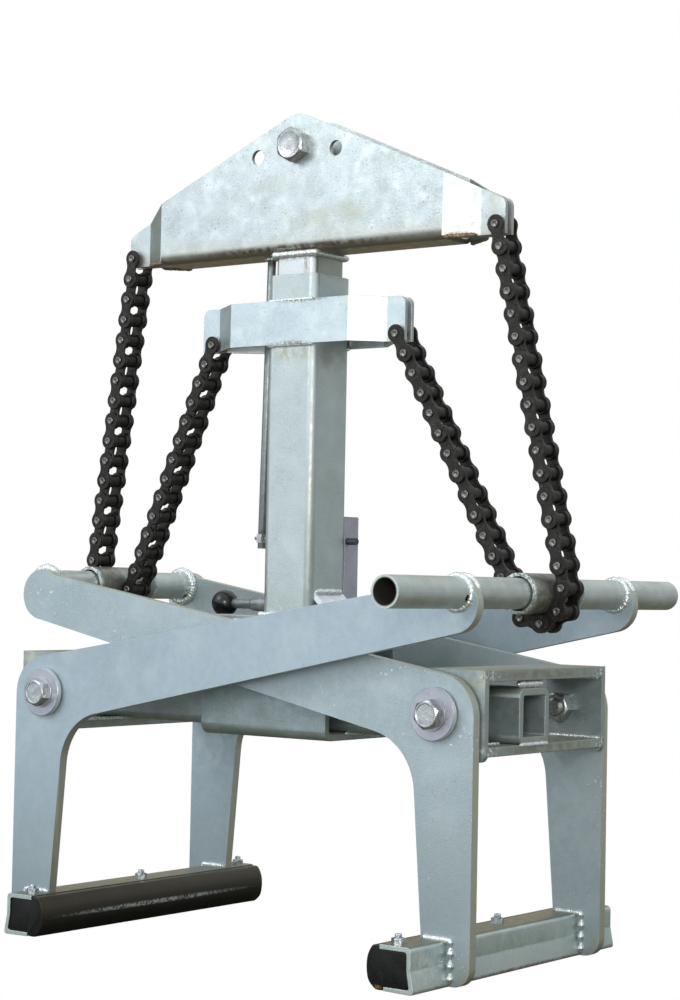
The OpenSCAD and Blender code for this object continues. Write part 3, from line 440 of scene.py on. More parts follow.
rod_steel = coat("grey_rod", "#8A9092", "#767D80", "#A3A9AA", cloud_mm=20, roughness=0.42,
                 marks=[stain_and_light_patch((-57, -12, 796), (12, 12, 12), "#3F372E", 0.9, 3),
                        stain_and_light_patch((-62, -12, 468), (12, 12, 14), "#4A4640", 0.8, 3)])
dress(["control_rod"], rod_steel, 0.4)

# Cross tubes
# Galvanised pipe with a dark bore, pale where it is welded, and loose sleeves that the
# chains have rubbed brown between their bright ends.


def corners(node):
    """A CAD node's lowest and highest corners, in mm to the micrometre."""
    return np.round(np.array([list(corner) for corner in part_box(node)]) / MM, 3)


PIPE_X, _, PIPE_Z = corners("left_lever_tube").mean(0)
BORE_REACH = 14.9


def inside_pipe(side):
    """Mark: the dark brown bore of a cross tube, all along it and BORE_REACH about its axis."""
    def mark(tree, colour):
        at = add(tree, "TexCoord", out="Object")
        near = blob(tree, at, (side * PIPE_X, 0, PIPE_Z), (BORE_REACH, 9000, BORE_REACH), 0.04)
        return laid(tree, colour, "#4A3D30", near, 0.85)
    return mark


pipe_marks = [spatter((s * PIPE_X, y, PIPE_Z), (60, 15, 60))
              for s, y in ((1, -154), (1, 172), (-1, -108), (-1, 128))]
pipe_marks += [stain_and_light_patch((s * PIPE_X, -230, 420), (20, 60, 12), "#9A8F78", 0.5, 9) for s in (-1, 1)]
pipe_marks += [inside_pipe(-1), inside_pipe(1)]
pipe_zinc = coat("bright_pipe_zinc", "#B8C0BC", "#A7AFAB", "#CED4D1", cloud_mm=30,
                 roughness=0.44, marks=pipe_marks, specks=0.3)
dress(["left_lever_tube", "right_lever_tube"], pipe_zinc)
SLEEVE_BANDS = ((-43, 7, "#D5DBDB", 0.9), (61, 7, "#D5DBDB", 0.9),
                (-24, 6, "#8C5A2E", 0.4), (42, 6, "#8C5A2E", 0.4))
sleeve_marks = [stain_and_light_patch((s * 312, y, PIPE_Z), (90, wide, 90), tone, amount, 3)
                for s in (-1, 1) for y, wide, tone, amount in SLEEVE_BANDS]
sleeve_zinc = coat("worn_sleeve", "#82847E", "#6B6C66", "#9C9F9B", cloud_mm=14, roughness=0.42,
                   marks=sleeve_marks, clouds=0.9)
dress(["left_sleeve", "right_sleeve"], sleeve_zinc, 0.5)

# Jaws
# Channels folded from 5 mm sheet, the web kinked along a ridge, with drips and dust on
# their zinc and painted shade on the faces that look inwards. A jaw's outlines are drawn
# in mm, across from the web's upper face inwards and up from the ground.

JAW_LOW, JAW_HIGH = corners("right_jaw_channel")
JAW_Y, JAW_TOP = (JAW_LOW[1] + JAW_HIGH[1]) / 2, JAW_HIGH[2]
KINK, TOP_FLANGE, BOTTOM_FLANGE, FOLD_CUT = 4.7, 38.9, 33.3, 5.5
WEB_X, RIDGE = JAW_HIGH[0] - KINK, JAW_TOP / 2
PAD_MIDDLE, PAD_HALF = (28, 24), 24

# A shape is a grid of points over a closed surface: its vertices in metres and its faces. A
# part is a shape with the number of its material in the mesh that it goes into.


def skin(grid, closed_i=False):
    """Quads over a grid of points [i, j, xyz], closed round j, and round i if asked."""
    n, m = grid.shape[:2]
    i, j = np.meshgrid(np.arange(n if closed_i else n - 1), np.arange(m), indexing="ij")
    i2, j2 = (i + 1) % n, (j + 1) % m
    faces = np.stack([i * m + j, i * m + j2, i2 * m + j2, i2 * m + j], -1).reshape(-1, 4)
    return grid.reshape(-1, 3), faces


def build(name, parts, materials, sharp_deg=38, open_ends=False):
    """One mesh from parts: doubles merged, open ends closed flat if asked, normals turned
    outwards, and edges that turn by more than sharp_deg kept sharp."""
    starts = np.cumsum([0] + [len(v) for v, _, _ in parts])
    vertices = np.concatenate([v for v, _, _ in parts])
    faces = np.concatenate([f + s for (_, f, _), s in zip(parts, starts)])
    slots = np.concatenate([np.full(len(f), k) for _, f, k in parts])
    mesh = bpy.data.meshes.new(name)
    mesh.from_pydata(vertices.tolist(), [], faces.tolist())
    for material in materials:
        mesh.materials.append(material)
    mesh.polygons.foreach_set("material_index", slots.astype(np.int32))
    shell = bmesh.new()
    shell.from_mesh(mesh)
    bmesh.ops.remove_doubles(shell, verts=shell.verts, dist=1e-6)
    if open_ends:
        bmesh.ops.holes_fill(shell, edges=shell.edges)
    bmesh.ops.recalc_face_normals(shell, faces=shell.faces)
    shell.to_mesh(mesh)
    shell.free()
    mesh.polygons.foreach_set("use_smooth", np.ones(len(mesh.polygons), bool))
    mesh.set_sharp_from_angle(angle=math.radians(sharp_deg))
    return in_scene(name, mesh)


def rounded(outline):
    """A closed outline from corners (across, up, cut): each corner gives way to a
    parabola that starts and ends cut mm away from it."""
    points = np.array(outline, float)
    here, cut = points[:, :2], points[:, 2:]
    back, ahead = np.roll(here, 1, 0) - here, np.roll(here, -1, 0) - here
    start = here + cut * back / np.linalg.norm(back, axis=1, keepdims=True)
    end = here + cut * ahead / np.linalg.norm(ahead, axis=1, keepdims=True)
    t = np.linspace(0, 1, 7)[:, None, None]
    curve = (1 - t) ** 2 * start + 2 * t * (1 - t) * here + t ** 2 * end
    return curve.transpose(1, 0, 2).reshape(-1, 2)


def jaw_bar(section, side, ends, ease=0.0, swell=0.0):
    """A part: an outline carried along a jaw between the y of its ends, which shrink about
    PAD_MIDDLE in a quarter circle of radius ease. What stands past the flanges swells in
    two slow waves, swell (sin(y / 29) + 0.6 sin(y / 11 + 2))."""
    a = np.linspace(0, math.pi / 2, 5)
    tip, inset = ease * (1 - np.cos(a)), ease * (1 - np.sin(a))
    middle = np.linspace(ends[0] + ease, ends[1] - ease, 90)[1:-1]
    y = np.concatenate([ends[0] + tip, middle, (ends[1] - tip)[::-1]])[:, None]
    scale = 1 - np.concatenate([inset, 0 * middle, inset[::-1]])[:, None] / PAD_HALF
    past = np.clip((section[:, 0] - TOP_FLANGE) / 12, 0, 1)
    wave = swell * (np.sin(y / 29) + 0.6 * np.sin(y / 11 + 2)) * past
    across = PAD_MIDDLE[0] + (section[:, 0] - PAD_MIDDLE[0]) * scale + wave
    up = PAD_MIDDLE[1] + (section[:, 1] - PAD_MIDDLE[1]) * scale
    return (*skin(np.stack([side * (WEB_X - across), y + 0 * across, up], -1) * MM), 0)


def drips(low, high, hex_colour, amount):
    """Mark: upright streaks a few mm wide, strongest at the height low."""
    def mark(tree, colour):
        at = add(tree, "TexCoord", out="Object")
        stretched = add(tree, "VectorMath", {0: at, 1: (1, 1, 0.16)}, operation="MULTIPLY")
        streaks = noise(tree, stretched, 2.6, 0.4, 0.68, 3)
        return laid(tree, colour, hex_colour, streaks, by_height(tree, high, low), amount)
    return mark


channel = rounded([
    (TOP_FLANGE, JAW_TOP, 1), (0, JAW_TOP, FOLD_CUT),                    # top flange, fold
    (0, RIDGE + 2, 0.5), (0, RIDGE, 0.6), (-0.4, RIDGE - 2, 0.5),        # ridge of the web
    (-KINK, 0, FOLD_CUT), (BOTTOM_FLANGE, 0.8, 1.5),                     # fold, bottom flange
    (BOTTOM_FLANGE, 5, 1), (1.3, 5, 3.5), (5, RIDGE, 3), (5, JAW_TOP - 5, 3.5),
    (TOP_FLANGE, JAW_TOP - 5, 1)])

for side, name in SIDES:
    jaw_marks = [stain_and_light_patch((side * 290, -172, 24), (9, 34, 30), "#F2FAF9", 0.7, 6),
                 facing((0, 0, 1), 0.6, 0.9, "#78725F", 0.85),
                 shaded(25, 22, "#CBD5D5", 0.5),
                 drips(0, 24, "#EEF2F1", 0.5),
                 drips(24, 50, "#A9B6B2", 0.35),
                 stain_and_light_patch((side * 291, JAW_Y, 24), (6, 230, 3), "#7E8B8C", 0.6, 5),
                 stain_and_light_patch((side * 291, JAW_Y, 2), (8, 230, 4), "#8A7A5C", 0.6, 6),
                 # Painted shade on the faces that look inwards
                 facing((-side, 0, 0), 0.6, 0.9, "#3E3E37", 0.9)]
    jaw_zinc = coat(f"galvanised_jaw_{name}", "#C2CFCD", "#AEBCBA", "#D6DFDE", cloud_mm=26,
                    roughness=0.44, marks=jaw_marks, specks=0.2)
    bar = jaw_bar(channel, side, (JAW_LOW[1], JAW_HIGH[1]))
    piece = build(f"{name}_folded_channel", [bar], [jaw_zinc], 30, True)
    soften(piece, 0.5)
    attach(piece, f"{name}_lever")
    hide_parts(f"{name}_jaw_channel")

# Rubber blocks
# One black block fills each channel and bulges past its flanges to grip the load: dusty
# where it looks up, and with a ragged pale sheen, a painted highlight, along the left
# block's middle.

bulge = rounded([
    (5.5, 42.8, 5), (5.5, RIDGE, 3), (1.8, 5.2, 5),                      # back, in the channel
    (33.6, 5.2, 1), (33.8, 0.9, 1.8), (44.5, 0.7, 3),                    # lower lip
    (54.3, 9, 6), (56.9, 25, 8), (54.5, 38, 6),                          # gripping face
    (48.5, 46.8, 3), (39.4, 46.9, 1.5), (39.2, 42.8, 1)])                # upper lip
rubber = coat("black_rubber", "#111212", "#0B0C0C", "#1D1D1B", cloud_mm=25, roughness=0.36,
              metallic=0, specks=0.1, bump=0.4, marks=[
                  facing((0.6, 0, 0.8), 0.35, 0.9, "#403A2D", 0.85),
                  facing((-0.6, 0, 0.8), 0.35, 0.9, "#403A2D", 0.85),
                  # Painted highlight: a ragged pale sheen along the left block's bulge
                  stain_and_light_patch((-230, JAW_Y, 23), (7, 210, 3.8), "#A4A8A8", 0.9, 3),
                  stain_and_light_patch((244, -194, 4), (9, 5, 3), "#8A6636", 0.85, 2)])
# Dusty rubber mirrors about half as much as a clean surface
rubber.node_tree.nodes["Principled BSDF"].inputs["Specular IOR Level"].default_value = 0.25

for side, name in SIDES:
    block = jaw_bar(bulge, side, (JAW_LOW[1] + 1, JAW_HIGH[1] - 1), ease=1.6, swell=0.35)
    piece = build(f"{name}_rubber_block", [block], [rubber], 30, True)
    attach(piece, f"{name}_lever")
    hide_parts(f"{name}_jaw_pad")

# Fasteners
# Each with its chamfered hexagon, dished face and rolled thread, where the CAD has plain
# prisms and cylinders: M20 at the pivots, M24 in the head, M8 on the pads.


def spin(axis, degrees):
    """A turn about an axis through the origin, as a 4x4 place."""
    return np.array(Matrix.Rotation(math.radians(degrees), 4, axis))


def shift(x, y, z):
    """A move in metres, as a 4x4 place."""
    return np.array(Matrix.Translation((x, y, z)))


def towards(x, y, z, way):
    """A place at a point in mm whose own z looks along y, the way of its sign."""
    return shift(x * MM, y * MM, z * MM) @ spin("X", -90 * way)


def placed(shape, place):
    """A shape moved to a place, as a part of the first material."""
    v, f = shape
    return v @ place[:3, :3].T + place[:3, 3], f, 0


def lathe(profile, sides, closed=False):
    """A profile of (radius, z) turned about z, closed on itself for a ring."""
    profile = np.array(profile)
    turn = np.linspace(0, 2 * math.pi, sides, endpoint=False)
    r, z = profile[:, :1], np.broadcast_to(profile[:, 1:], (len(profile), sides))
    return skin(np.stack([r * np.cos(turn), r * np.sin(turn), z], -1) * MM, closed)


def hexagon(flats, high, hole=0.0):
    """A hexagon head or nut standing on z = 0: its radius is the smaller of the hexagon's,
    flats / 2 / cos, and a chamfering cone's, face + slope (high - z). The top is dished,
    or holed."""
    turn = np.linspace(0, 2 * math.pi, 60, endpoint=False)
    six = flats / 2 / np.cos((turn + math.pi / 6) % (math.pi / 3) - math.pi / 6)
    face, step, slope = 0.455 * flats, 0.0168 * flats, 1.73
    levels = [0, 0.7] + [high - k * step for k in (5, 4, 3, 2, 1, 0)]
    rings = [np.minimum(six, face + slope * (high - z)) for z in levels]
    rings, levels = [0 * turn + hole] + rings, [0] + levels
    if hole:
        rings += [0 * turn + hole + 0.6, 0 * turn + hole]
        levels += [high, high - 0.6]
    else:
        rings += [0 * turn + r for r in (0.9 * face, 0.84 * face, 0.4 * face, 0)]
        levels += [high] + [high - 0.5] * 3
    grid = np.stack([np.stack([r * np.cos(turn), r * np.sin(turn), 0 * turn + z], -1)
                     for r, z in zip(rings, levels)])
    return skin(grid * MM, closed_i=bool(hole))


def thread(d, low, high, pitch=2.5):
    """A threaded shank: ridges every pitch over its last 14 pitches, and a chamfered end."""
    z = np.arange(max(low, high - 14 * pitch), high - 0.12 * d, pitch / 2)
    ridge = d / 2 - 0.54 * pitch * (np.arange(len(z)) % 2)
    return lathe([(0, low), (d / 2, low)] + list(zip(ridge, z)) + [(0.38 * d, high), (0, high)], 28)


def disc(r, thick, hole, ease):
    """A washer on z = 0, its outer edges eased."""
    return lathe([(hole, 0), (r - ease, 0), (r, ease), (r, thick - ease), (r - ease, thick), (hole, thick)],
                 48, closed=True)


bolt_zinc = coat("zinc_plated_bolt", "#A6A7A7", "#8C8D8D", "#D2D3D1", cloud_mm=9,
                 roughness=0.26, metallic=0.95, bump=0.3, clouds=0.55)
dress(["rod_cross_bolt"], bolt_zinc, 0.3)
small_zinc = coat("bright_zinc_nut", "#C2C9CE", "#A2A9AE", "#EEF2F3", cloud_mm=3,
                  roughness=0.24, metallic=0.92, bump=0.3, clouds=0.8)
# Its edge mark paints the washers' rims bright: a painted highlight.
washer_zinc = coat("zinc_plated_washer", "#A7A8B1", "#999AA4", "#BCBDC4", cloud_mm=30,
                   roughness=0.4, marks=[cut_edges_and_rim_highlight("#D9DDD9", 0.9)])

# A pivot's stack, STACK thick, from the cheek outwards: a small washer, the lever plate, two
# big washers and the bolt head on its flange; its nut is inside the cheek
STACK, CHEEK_T, BIG_R, BIG_T, BORE_R = 22.6, 8, 28, 6.6, 10.3
PIVOT_X = corners("pivot_washers")[1][0] - BIG_R
PIVOT_Z = corners("pivot_bolts").mean(0)[2]
bolts, nuts, washers = [], [], []
for side, name, way, degrees in ((-1, "left", -1, 8), (-1, "left", 1, 25),
                                 (1, "right", -1, -13), (1, "right", 1, 19)):
    x, cheek = side * PIVOT_X, corners(f"{name}_cheeks")[(way + 1) // 2][1]
    under_head = cheek + way * STACK
    head = towards(x, under_head, PIVOT_Z, way) @ spin("Z", degrees)
    bolts += [placed(hexagon(28.5, 12), head), placed(thread(20, 0, 50.6), head @ spin("X", 180))]
    behind = towards(x, cheek - way * CHEEK_T, PIVOT_Z, -way) @ spin("Z", degrees)
    nuts.append(placed(hexagon(30, 16, 10.1), behind))
    for r, thick, ease, y, to in ((BIG_R, BIG_T, 0.7, under_head, -way),
                                  (24, 1.4, 0.2, under_head - way * BIG_T, -way),
                                  (18, 1.6, 0.4, under_head, way),
                                  (18.5, 2.4, 0.3, cheek, way)):
        washers.append(placed(disc(r, thick, BORE_R, ease), towards(x, y, PIVOT_Z, to)))
fasteners = [("pivot_bolt_set", bolts, "pivot_bolts", "frame", bolt_zinc, "bolt_zinc"),
             ("pivot_nut_set", nuts, "pivot_nuts", "frame", bolt_zinc, "bolt_zinc"),
             ("pivot_washer_set", washers, "pivot_washers", "frame", washer_zinc, "washer_zinc")]

lift_z = corners("lifting_bolt").mean(0)[2]
front = towards(0, corners("head_front_plate")[0][1], lift_z, -1)
back = towards(0, corners("head_back_plate")[1][1], lift_z, 1)
lift_bolt = [placed(hexagon(36, 15.1), front), placed(thread(24, 0, 85.4, 3), front @ spin("X", 180))]
lift_nut = [placed(hexagon(36, 19.2, 12.1), back)]
fasteners += [("head_lifting_bolt", lift_bolt, "lifting_bolt", "head", bolt_zinc, "lifting_steel"),
              ("head_lifting_nut", lift_nut, "lifting_nut", "head", bolt_zinc, "lifting_steel")]

STUD_D = 8
stud_low, stud_high = corners("right_pad_studs")
stud_x, stud_reach = (stud_low[0] + stud_high[0]) / 2, (stud_high[1] - stud_low[1] - STUD_D) / 2
for side, name in SIDES:
    places = [shift(side * stud_x * MM, (JAW_Y + k * stud_reach) * MM, 0) for k in (-1, 0, 1)]
    studs = [placed(thread(STUD_D, stud_low[2], stud_high[2], 1.25), place) for place in places]
    on_jaw = [place @ shift(0, 0, JAW_TOP * MM) @ spin("Z", 17 * k) for k, place in enumerate(places)]
    stud_nuts = [placed(hexagon(13, 6.4, 4.05), place) for place in on_jaw]
    fasteners += [(f"{name}_jaw_stud_set", studs, f"{name}_pad_studs", f"{name}_lever",
                   small_zinc, "bolt_zinc"),
                  (f"{name}_jaw_nut_set", stud_nuts, f"{name}_pad_nuts", f"{name}_lever",
                   small_zinc, "bolt_zinc")]

for name, parts, node, body, material, slot in fasteners:
    piece = build(name, parts, [material], 30)
    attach(piece, body)
    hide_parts(node)

# Welds
# Beads of silvery zinc-coated weld along every joint, one mesh for each body, and browned
# ones where the head's fold is closed.


def bead(path, r, hint=(0, 0, 1), closed=False):
    """A weld bead along a path: a tube whose radius r swells by a sixth at each ripple,
    |sin(pi s / 3.4)|, wanders by a tenth, and falls to nothing at open ends. It is a
    part, and hint is any direction that the path never takes."""
    path = np.asarray(path, float)
    if closed:
        path = np.concatenate([path, path[:1]])
    legs = np.concatenate([[0], np.cumsum(np.linalg.norm(np.diff(path, axis=0), axis=1))])
    s = np.linspace(0, legs[-1], max(12, int(legs[-1] / 0.95)), endpoint=not closed)
    line = np.stack([np.interp(s, legs, path[:, k]) for k in range(3)], 1)
    if closed:
        ahead = np.roll(line, -2, 0) - np.roll(line, 2, 0)
    else:
        ahead = np.gradient(line, axis=0)
    side = np.cross(ahead, hint)
    side /= np.linalg.norm(side, axis=1)[:, None]
    lift = np.cross(side, ahead / np.linalg.norm(ahead, axis=1)[:, None])
    ripple = 0.92 + 0.17 * np.abs(np.sin(math.pi * s / 3.4))
    wander = 0.1 * np.sin(0.31 * s + path[0, 0]) * np.sin(0.83 * s)
    ends = 1 if closed else np.sqrt(np.clip(np.minimum(s, legs[-1] - s) / (1.4 * r), 0.0001, 1))
    wide = (r * (ripple + wander) * ends)[:, None, None]
    a = np.linspace(0, 2 * math.pi, 10, endpoint=False)[None, :, None]
    grid = line[:, None] + wide * (np.cos(a) * side[:, None] + np.sin(a) * lift[:, None])
    return (*skin(grid * MM, closed), 0)


def ring(centre, r, axis):
    """A circle of points about a centre, in the plane across the axis number."""
    a = np.linspace(0, 2 * math.pi, 40, endpoint=False)
    flat = [r * np.cos(a), r * np.sin(a)]
    return np.stack(flat[:axis] + [0 * a] + flat[axis:], 1) + centre


def box_loop(x, y0, y1, z):
    """The four corners of a level rectangle, x either side of the middle."""
    return [(-x, y0, z), (x, y0, z), (x, y1, z), (-x, y1, z)]


weld_zinc = coat("zinc_coated_weld", "#DDE2E2", "#BCC2C1", "#F6F8F7", cloud_mm=5,
                 roughness=0.3, bump=0.6, specks=0.9, clouds=0.9)
brown_weld = coat("browned_weld", "#7A6650", "#55432F", "#A89272", cloud_mm=5, roughness=0.5,
                  bump=0.7, metallic=0.5, clouds=0.9)

# The mast's foot on the saddle's cover, and its brace
MAST_LOW, MAST_HIGH = corners("guide_tube")
cover_top = corners("saddle_cover")[1][2]
mast_y = (MAST_LOW[1] - 1, MAST_HIGH[1] + 1)
brace_low, brace_high = corners("foot_brace")
frame_beads = [bead(box_loop(MAST_HIGH[0] + 1, *mast_y, cover_top + 0.6), 3.2, closed=True)]
for x, z, r in ((brace_low[0] + 1.5, brace_high[2], 3.6), (brace_high[0] - 0.5, cover_top + 0.8, 2.4)):
    frame_beads += [bead([(x, brace_low[1] + 1, z), (x, brace_high[1] - 1, z)], r)]

# The cross-arm's plates on the mast
arm_z0, arm_z1 = corners("cross_arm_plates")[:, 2]
for y in mast_y:
    frame_beads += [bead([(-34, y, z), (34, y, z)], r)
                    for z, r in ((arm_z1 + 0.1, 2.3), (arm_z0 - 0.4, 2.0))]
for x in (MAST_LOW[0] - 0.6, MAST_HIGH[0] + 0.6):
    frame_beads += [bead([(x, y, arm_z0 + 2), (x, y, arm_z1 - 1.5)], 1.8, (0, 1, 0))
                    for y in (MAST_LOW[1] + 0.6, MAST_HIGH[1] - 0.6)]

# The saddle on the core tube
(_, saddle_y0, _), (saddle_x, saddle_y1, saddle_top) = corners("saddle")
(_, core_y0, core_z0), (core_x, core_y1, core_z1) = corners("core_tube")
frame_beads += [bead([(1 - saddle_x, y, saddle_top - 0.4), (saddle_x - 1, y, saddle_top - 0.4)], 2.0)
                for y in (saddle_y0 - 0.1, saddle_y1 + 0.1)]
frame_beads += [bead([(s * saddle_x, core_y0 - 0.6, z), (s * saddle_x, core_y1 + 0.6, z)], 2.2)
                for s in (-1, 1) for z in (core_z0 - 0.4, core_z1 + 0.4)]

# The ring ends, round the core tube
ROOF_T = 12
(ring_in, _, _), (ring_out, _, ring_top) = corners("right_ring_plates")
for side, name in SIDES:
    y0, y1 = corners(f"{name}_ring_plates")[:, 1] + (0.4, -0.4)
    for y in (y0, y1):
        frame_beads += [bead([(side * (ring_in + 4), y, z), (side * (ring_out - 2.5), y, z)], 2.4)
                        for z in (core_z0 + 0.4, ring_top - ROOF_T - 0.4)]
    x, floor_z = side * (ring_in + 0.2), core_z0 + 0.3
    frame_beads += [bead([(side * 294, y0 + 8, core_z0 + 1), (side * 300, y0 + 52, core_z0 + 1)], 1.9),
                    bead([(x, y0 + 5, floor_z), (x, y1 - 5, floor_z)], 2.0)]
    for x, inset, z, r in ((core_x - 0.5, 1, core_z0 - 0.2, 2.6), (core_x - 6.5, 5, core_z1 + 4.2, 4.5)):
        frame_beads += [bead([(side * x, core_y0 + inset, z), (side * x, core_y1 - inset, z)], r)]

# The head on its slide tube and rod, and its fold's closed ends
(_, slide_y0, _), (slide_x, slide_y1, slide_top) = corners("slide_tube")
mast_middle = (MAST_LOW[1] + MAST_HIGH[1]) / 2
ROD_TOP_X = -57.2
head_beads = [bead(box_loop(slide_x + 1, slide_y0 - 1, slide_y1 + 1, slide_top - 2.5), 3.7, closed=True),
              bead(ring((ROD_TOP_X, mast_middle, slide_top - 1.1), 6.0, 2), 2.0, closed=True)]
(_, _, fold_z), (fold_x, _, _) = corners("head_fold")
fold_beads = [bead([(s * fold_x, mast_middle + c * 29, fold_z + 1.7),
                    (s * (fold_x + 35), mast_middle + c * 11, fold_z + 3.3)], 2.6)
              for s in (-1, 1) for c in (-1, 1)]


def plate_faces(lever, gap):
    """The y of a lever's four plate faces, each moved off its steel by gap."""
    faces = np.concatenate([corners(f"{lever}_front")[:, 1], corners(f"{lever}_back")[:, 1]])
    return faces + gap * np.array([-1, 1, -1, 1])


# Round the cross tubes (y, radius and thickness of each bead) and down the jaws' webs
PIPE_BEADS = {"left_lever": [(y, 17.6, 3.3) for y in plate_faces("left_lever", 0.5)],
              "right_lever": [(-116, 19, 5), (-109, 17.4, 3.2), (134, 19, 5)]}
lever_beads = {}
for side, lever in ((-1, "left_lever"), (1, "right_lever")):
    lever_beads[lever] = [bead(ring((-side * PIPE_X, y, PIPE_Z), across, 1), r, (0, 1, 0), True)
                          for y, across, r in PIPE_BEADS[lever]]
    for y in plate_faces(lever, 0.3):
        over_edge = [(side * 255, y, JAW_TOP + 0.8), (side * JAW_HIGH[0], y, JAW_TOP + 0.6),
                     (side * (JAW_HIGH[0] + 1.4), y, JAW_TOP - 6)]
        lever_beads[lever] += [bead(over_edge, 3.4, (0, 1, 0))]
        for z in (36, 23, 10):
            down_web = [(side * (JAW_HIGH[0] + 0.8), y, z - 6.5),
                        (side * (JAW_HIGH[0] + 1), y, z + 6.5)]
            lever_beads[lever] += [bead(down_web, 4.0, (0, 1, 0))]

for name, parts, body, slot, material in (
        ("welds_frame", frame_beads, "frame", "beam_plate", weld_zinc),
        ("welds_head", head_beads, "head", "head_plate", weld_zinc),
        ("welds_head_fold", fold_beads, "head", "head_plate", brown_weld),
        ("welds_left_lever", lever_beads["left_lever"], "left_lever", "lever_plate", weld_zinc),
        ("welds_right_lever", lever_beads["right_lever"], "right_lever", "lever_plate", weld_zinc)):
    piece = build(name, parts, [material], 60)
    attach(piece, body)

# Roller chains
# One length of one-inch roller chain on each side, from the head round a sleeve to the
# cross-arm: pressed and hardened plates, riveted pins and loose rollers, oiled and nearly
# black, with the pins' riveted ends rubbed bare and grey.

chain_steel = coat("oiled_chain", "#221F1C", "#181614", "#38332F", cloud_mm=10, roughness=0.4,
                   metallic=0.55, clouds=0.9)
chain_pin = coat("rubbed_pin_end", "#6E6B67", "#4A4744", "#A5A19B", cloud_mm=3, roughness=0.34,
                 clouds=0.9)

# Metres from here on. The plates' inner faces stand INNER_FACE from the chain's middle.
PITCH = 25.4 * MM
PLATE_HALF, WAIST_HALF = 10.3 * MM, 6.8 * MM
ROLLER_R, PIN_R, PIN_HALF = 7.94 * MM, 4.14 * MM, 18.2 * MM
INNER_FACE, INNER_T, OUTER_T, SIDE_PLAY = 8.51 * MM, 4.2 * MM, 3.1 * MM, 0.4 * MM
BARE_METAL = 1  # the number of chain_pin among a link's materials


def link_outline():
    """The plate's outline: two end arcs about the pins, joined by hollow flanks that
    touch both arcs and leave the waist between them."""
    flank_r = (WAIST_HALF ** 2 + (PITCH / 2) ** 2 - PLATE_HALF ** 2) / (2 * (PLATE_HALF - WAIST_HALF))
    centre = np.array([flank_r + WAIST_HALF, PITCH / 2])
    touch = centre * PLATE_HALF / np.linalg.norm(centre)
    end = math.atan2(touch[1], touch[0])
    a = np.linspace(-math.pi / 2, end, 11)
    low = PLATE_HALF * np.stack([np.cos(a), np.sin(a)], 1)
    z = np.linspace(touch[1], PITCH - touch[1], 7)[1:-1]
    flank = np.stack([centre[0] - np.sqrt(flank_r ** 2 - (z - PITCH / 2) ** 2), z], 1)
    high = np.stack([low[::-1, 0], PITCH - low[::-1, 1]], 1)
    half = np.concatenate([low, flank, high])
    return np.concatenate([half, half[-2:0:-1] * [-1, 1]])


def link_plate(y, thick):
    """The outline carried across the plate's thickness, with its edges eased, and closed
    on its middle line."""
    line = link_outline()
    along = np.roll(line, -1, 0) - np.roll(line, 1, 0)
    inward = np.stack([-along[:, 1], along[:, 0]], 1) / np.linalg.norm(along, axis=1)[:, None]
    ease, half = 0.55 * MM, thick / 2
    eased = line + inward * ease
    middle = np.stack([0 * line[:, 0], np.clip(line[:, 1], 0, PITCH)], 1)
    rings = [(middle, -half), (eased, -half), (line, -half + ease),
             (line, half - ease), (eased, half), (middle, half)]
    return skin(np.stack([np.stack([r[:, 0], np.full(len(r), y + h), r[:, 1]], 1) for r, h in rings]))


def turned(profile, z, sides=18, wobble=0.0):
    """A profile of (radius, y) turned about the line along y at height z. Radii over 3 mm
    wobble in three waves, by that share of themselves."""
    profile = np.asarray(profile)
    a = np.linspace(0, 2 * math.pi, sides, endpoint=False)
    r = profile[:, :1] * (1 + wobble * np.sin(3 * a + 1000 * z)[None] * (profile[:, :1] > 3 * MM))
    y = np.broadcast_to(profile[:, 1:], r.shape)
    return skin(np.stack([r * np.cos(a), y, z + r * np.sin(a)], -1))


def pin(z):
    """A riveted pin: its ends spread a little and sink in at the middle."""
    rivet = np.array([(0, -0.7), (1.5, -0.6), (2.3, 0), (3.7, 0), (4.45, -0.7), (4.3, -1.5), (4.14, -1.6)])
    end = rivet * MM + [0, PIN_HALF]
    stem = np.array([(PIN_R, end[-1, 1]), (PIN_R, -end[-1, 1])])
    return [(*turned(end * [1, s], z, wobble=0.05), BARE_METAL) for s in (1, -1)] + [(*turned(stem, z), 0)]


def pin_link():
    """An outer link, as parts: two plates and its two pins."""
    y = INNER_FACE + INNER_T + SIDE_PLAY + OUTER_T / 2
    return [(*link_plate(s * y, OUTER_T), 0) for s in (-1, 1)] + pin(0) + pin(PITCH)


def roller_link():
    """An inner link, as parts: two plates and its two rollers."""
    half, ease = 8.3 * MM, 0.6 * MM
    barrel = np.array([(0, -half), (ROLLER_R - ease, -half), (ROLLER_R, ease - half),
                       (ROLLER_R, half - ease), (ROLLER_R - ease, half), (0, half)])
    y = INNER_FACE + INNER_T / 2
    plates = [(*link_plate(s * y, INNER_T), 0) for s in (-1, 1)]
    return plates + [(*turned(barrel, z, 24), 0) for z in (0, PITCH)]


# The right chain's course in side view, (x, z): down from the head's pin to the sleeve,
# round it on the circle of its pins, and up to the cross-arm's pin. Both straight runs
# lean from the sleeve's middle towards the mast's.
SLEEVE_AT = np.array([PIPE_X, PIPE_Z]) * MM
SLEEVE_R, SLEEVE_GAP = 22.25 * MM, 0.15 * MM
MIDDLE_Y = JAW_Y * MM
MAST_SET = MIDDLE_Y - mast_middle * MM
HEAD_PIN_X, ARM_PIN_X = 265.3 * MM, 134.1 * MM
OUTER_LINKS, WRAP_LINKS, INNER_LINKS = 16, 4, 13
wrap_r = SLEEVE_R + PLATE_HALF + SLEEVE_GAP
wrap_step = 2 * math.degrees(math.asin(PITCH / 2 / wrap_r))


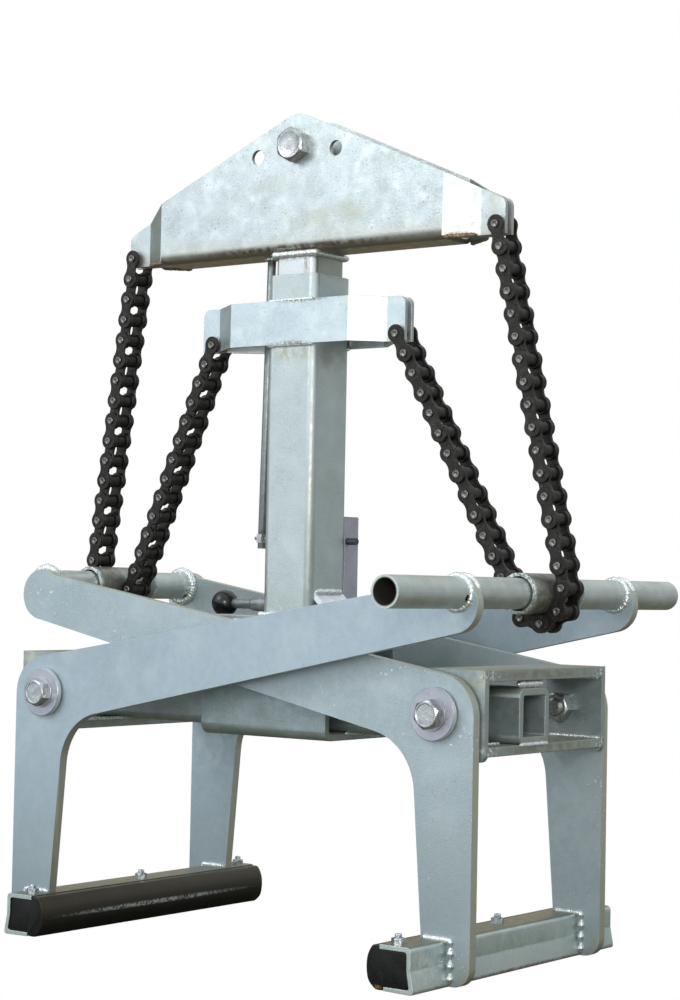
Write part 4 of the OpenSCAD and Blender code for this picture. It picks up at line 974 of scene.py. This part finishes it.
def run(links):
    """Degrees that a straight run leans towards the mast's plane, so that its end comes
    there, and its length in side view. Its first link takes half the lean."""
    lean = math.asin(MAST_SET / ((links - 0.5) * PITCH))
    return math.degrees(lean), PITCH * ((links - 1) * math.cos(lean) + math.cos(lean / 2))


outer_lean, outer_length = run(OUTER_LINKS)
inner_lean, inner_length = run(INNER_LINKS)
outer_tilt = math.degrees(
    math.acos((HEAD_PIN_X - SLEEVE_AT[0]) / math.hypot(wrap_r, outer_length))
    - math.atan2(outer_length, wrap_r))


def on_wrap(degrees):
    """A point in side view on the circle of the pins round the sleeve."""
    a = math.radians(degrees)
    return SLEEVE_AT + wrap_r * np.array([math.cos(a), math.sin(a)])


wrap_first, wrap_last = on_wrap(outer_tilt), on_wrap(outer_tilt - WRAP_LINKS * wrap_step)
inner_tilt = math.degrees(math.asin((wrap_last[0] - ARM_PIN_X) / inner_length))


def on_run(p, tilt):
    """The place of a link whose first pin is at p, tilted outwards by tilt degrees."""
    return shift(p[0], MIDDLE_Y, p[1]) @ spin("Y", -tilt)


def leaning(base, lean, links):
    """Places of a run's links: the first takes half the lean, the others all of it."""
    half = math.radians(lean / 2)
    first = base @ spin("X", lean / 2)
    bent = base @ shift(0, -PITCH * math.sin(half), PITCH * math.cos(half)) @ spin("X", lean)
    return [first] + [bent @ shift(0, 0, i * PITCH) for i in range(links - 1)]


outer_places = leaning(on_run(wrap_first, outer_tilt), outer_lean, OUTER_LINKS)
wrap_places = [on_run(on_wrap(outer_tilt - (i + 1) * wrap_step), outer_tilt - (i + 0.5) * wrap_step)
               for i in range(WRAP_LINKS)]
inner_places = leaning(on_run(wrap_last, inner_tilt), inner_lean, INNER_LINKS)


def chain_piece(name, places, first_number, step, side):
    """Links set at their places; odd links carry the pins. side -1 mirrors them."""
    parts = []
    for k, place in enumerate(places):
        odd = (first_number + k * step) % 2 == 1
        for v, f, number in pin_link() if odd else roller_link():
            moved, _, _ = placed((v, f), place)
            parts.append((moved * [side, 1, 1], f, number))
    return build(name, parts, [chain_steel, chain_pin])


for side, name, lever in ((1, "right", "left_lever"), (-1, "left", "right_lever")):
    outer = chain_piece(f"{name}_chain_outer_run", outer_places[1:], OUTER_LINKS - 1, -1, side)
    end = chain_piece(f"{name}_chain_last_link", outer_places[:1], OUTER_LINKS, -1, side)
    wrap = chain_piece(f"{name}_chain_round_sleeve", wrap_places, OUTER_LINKS + 1, 1, side)
    inner = chain_piece(f"{name}_chain_inner_run", inner_places, OUTER_LINKS + WRAP_LINKS + 1, 1, side)
    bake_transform(outer)
    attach(end, f"{name}_chain_end")
    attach(wrap, lever)
    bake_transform(inner)
    for piece, node in ((outer, "outer"), (end, "end"), (wrap, "wrap"), (inner, "inner")):
        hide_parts(f"{name}_chain_{node}")
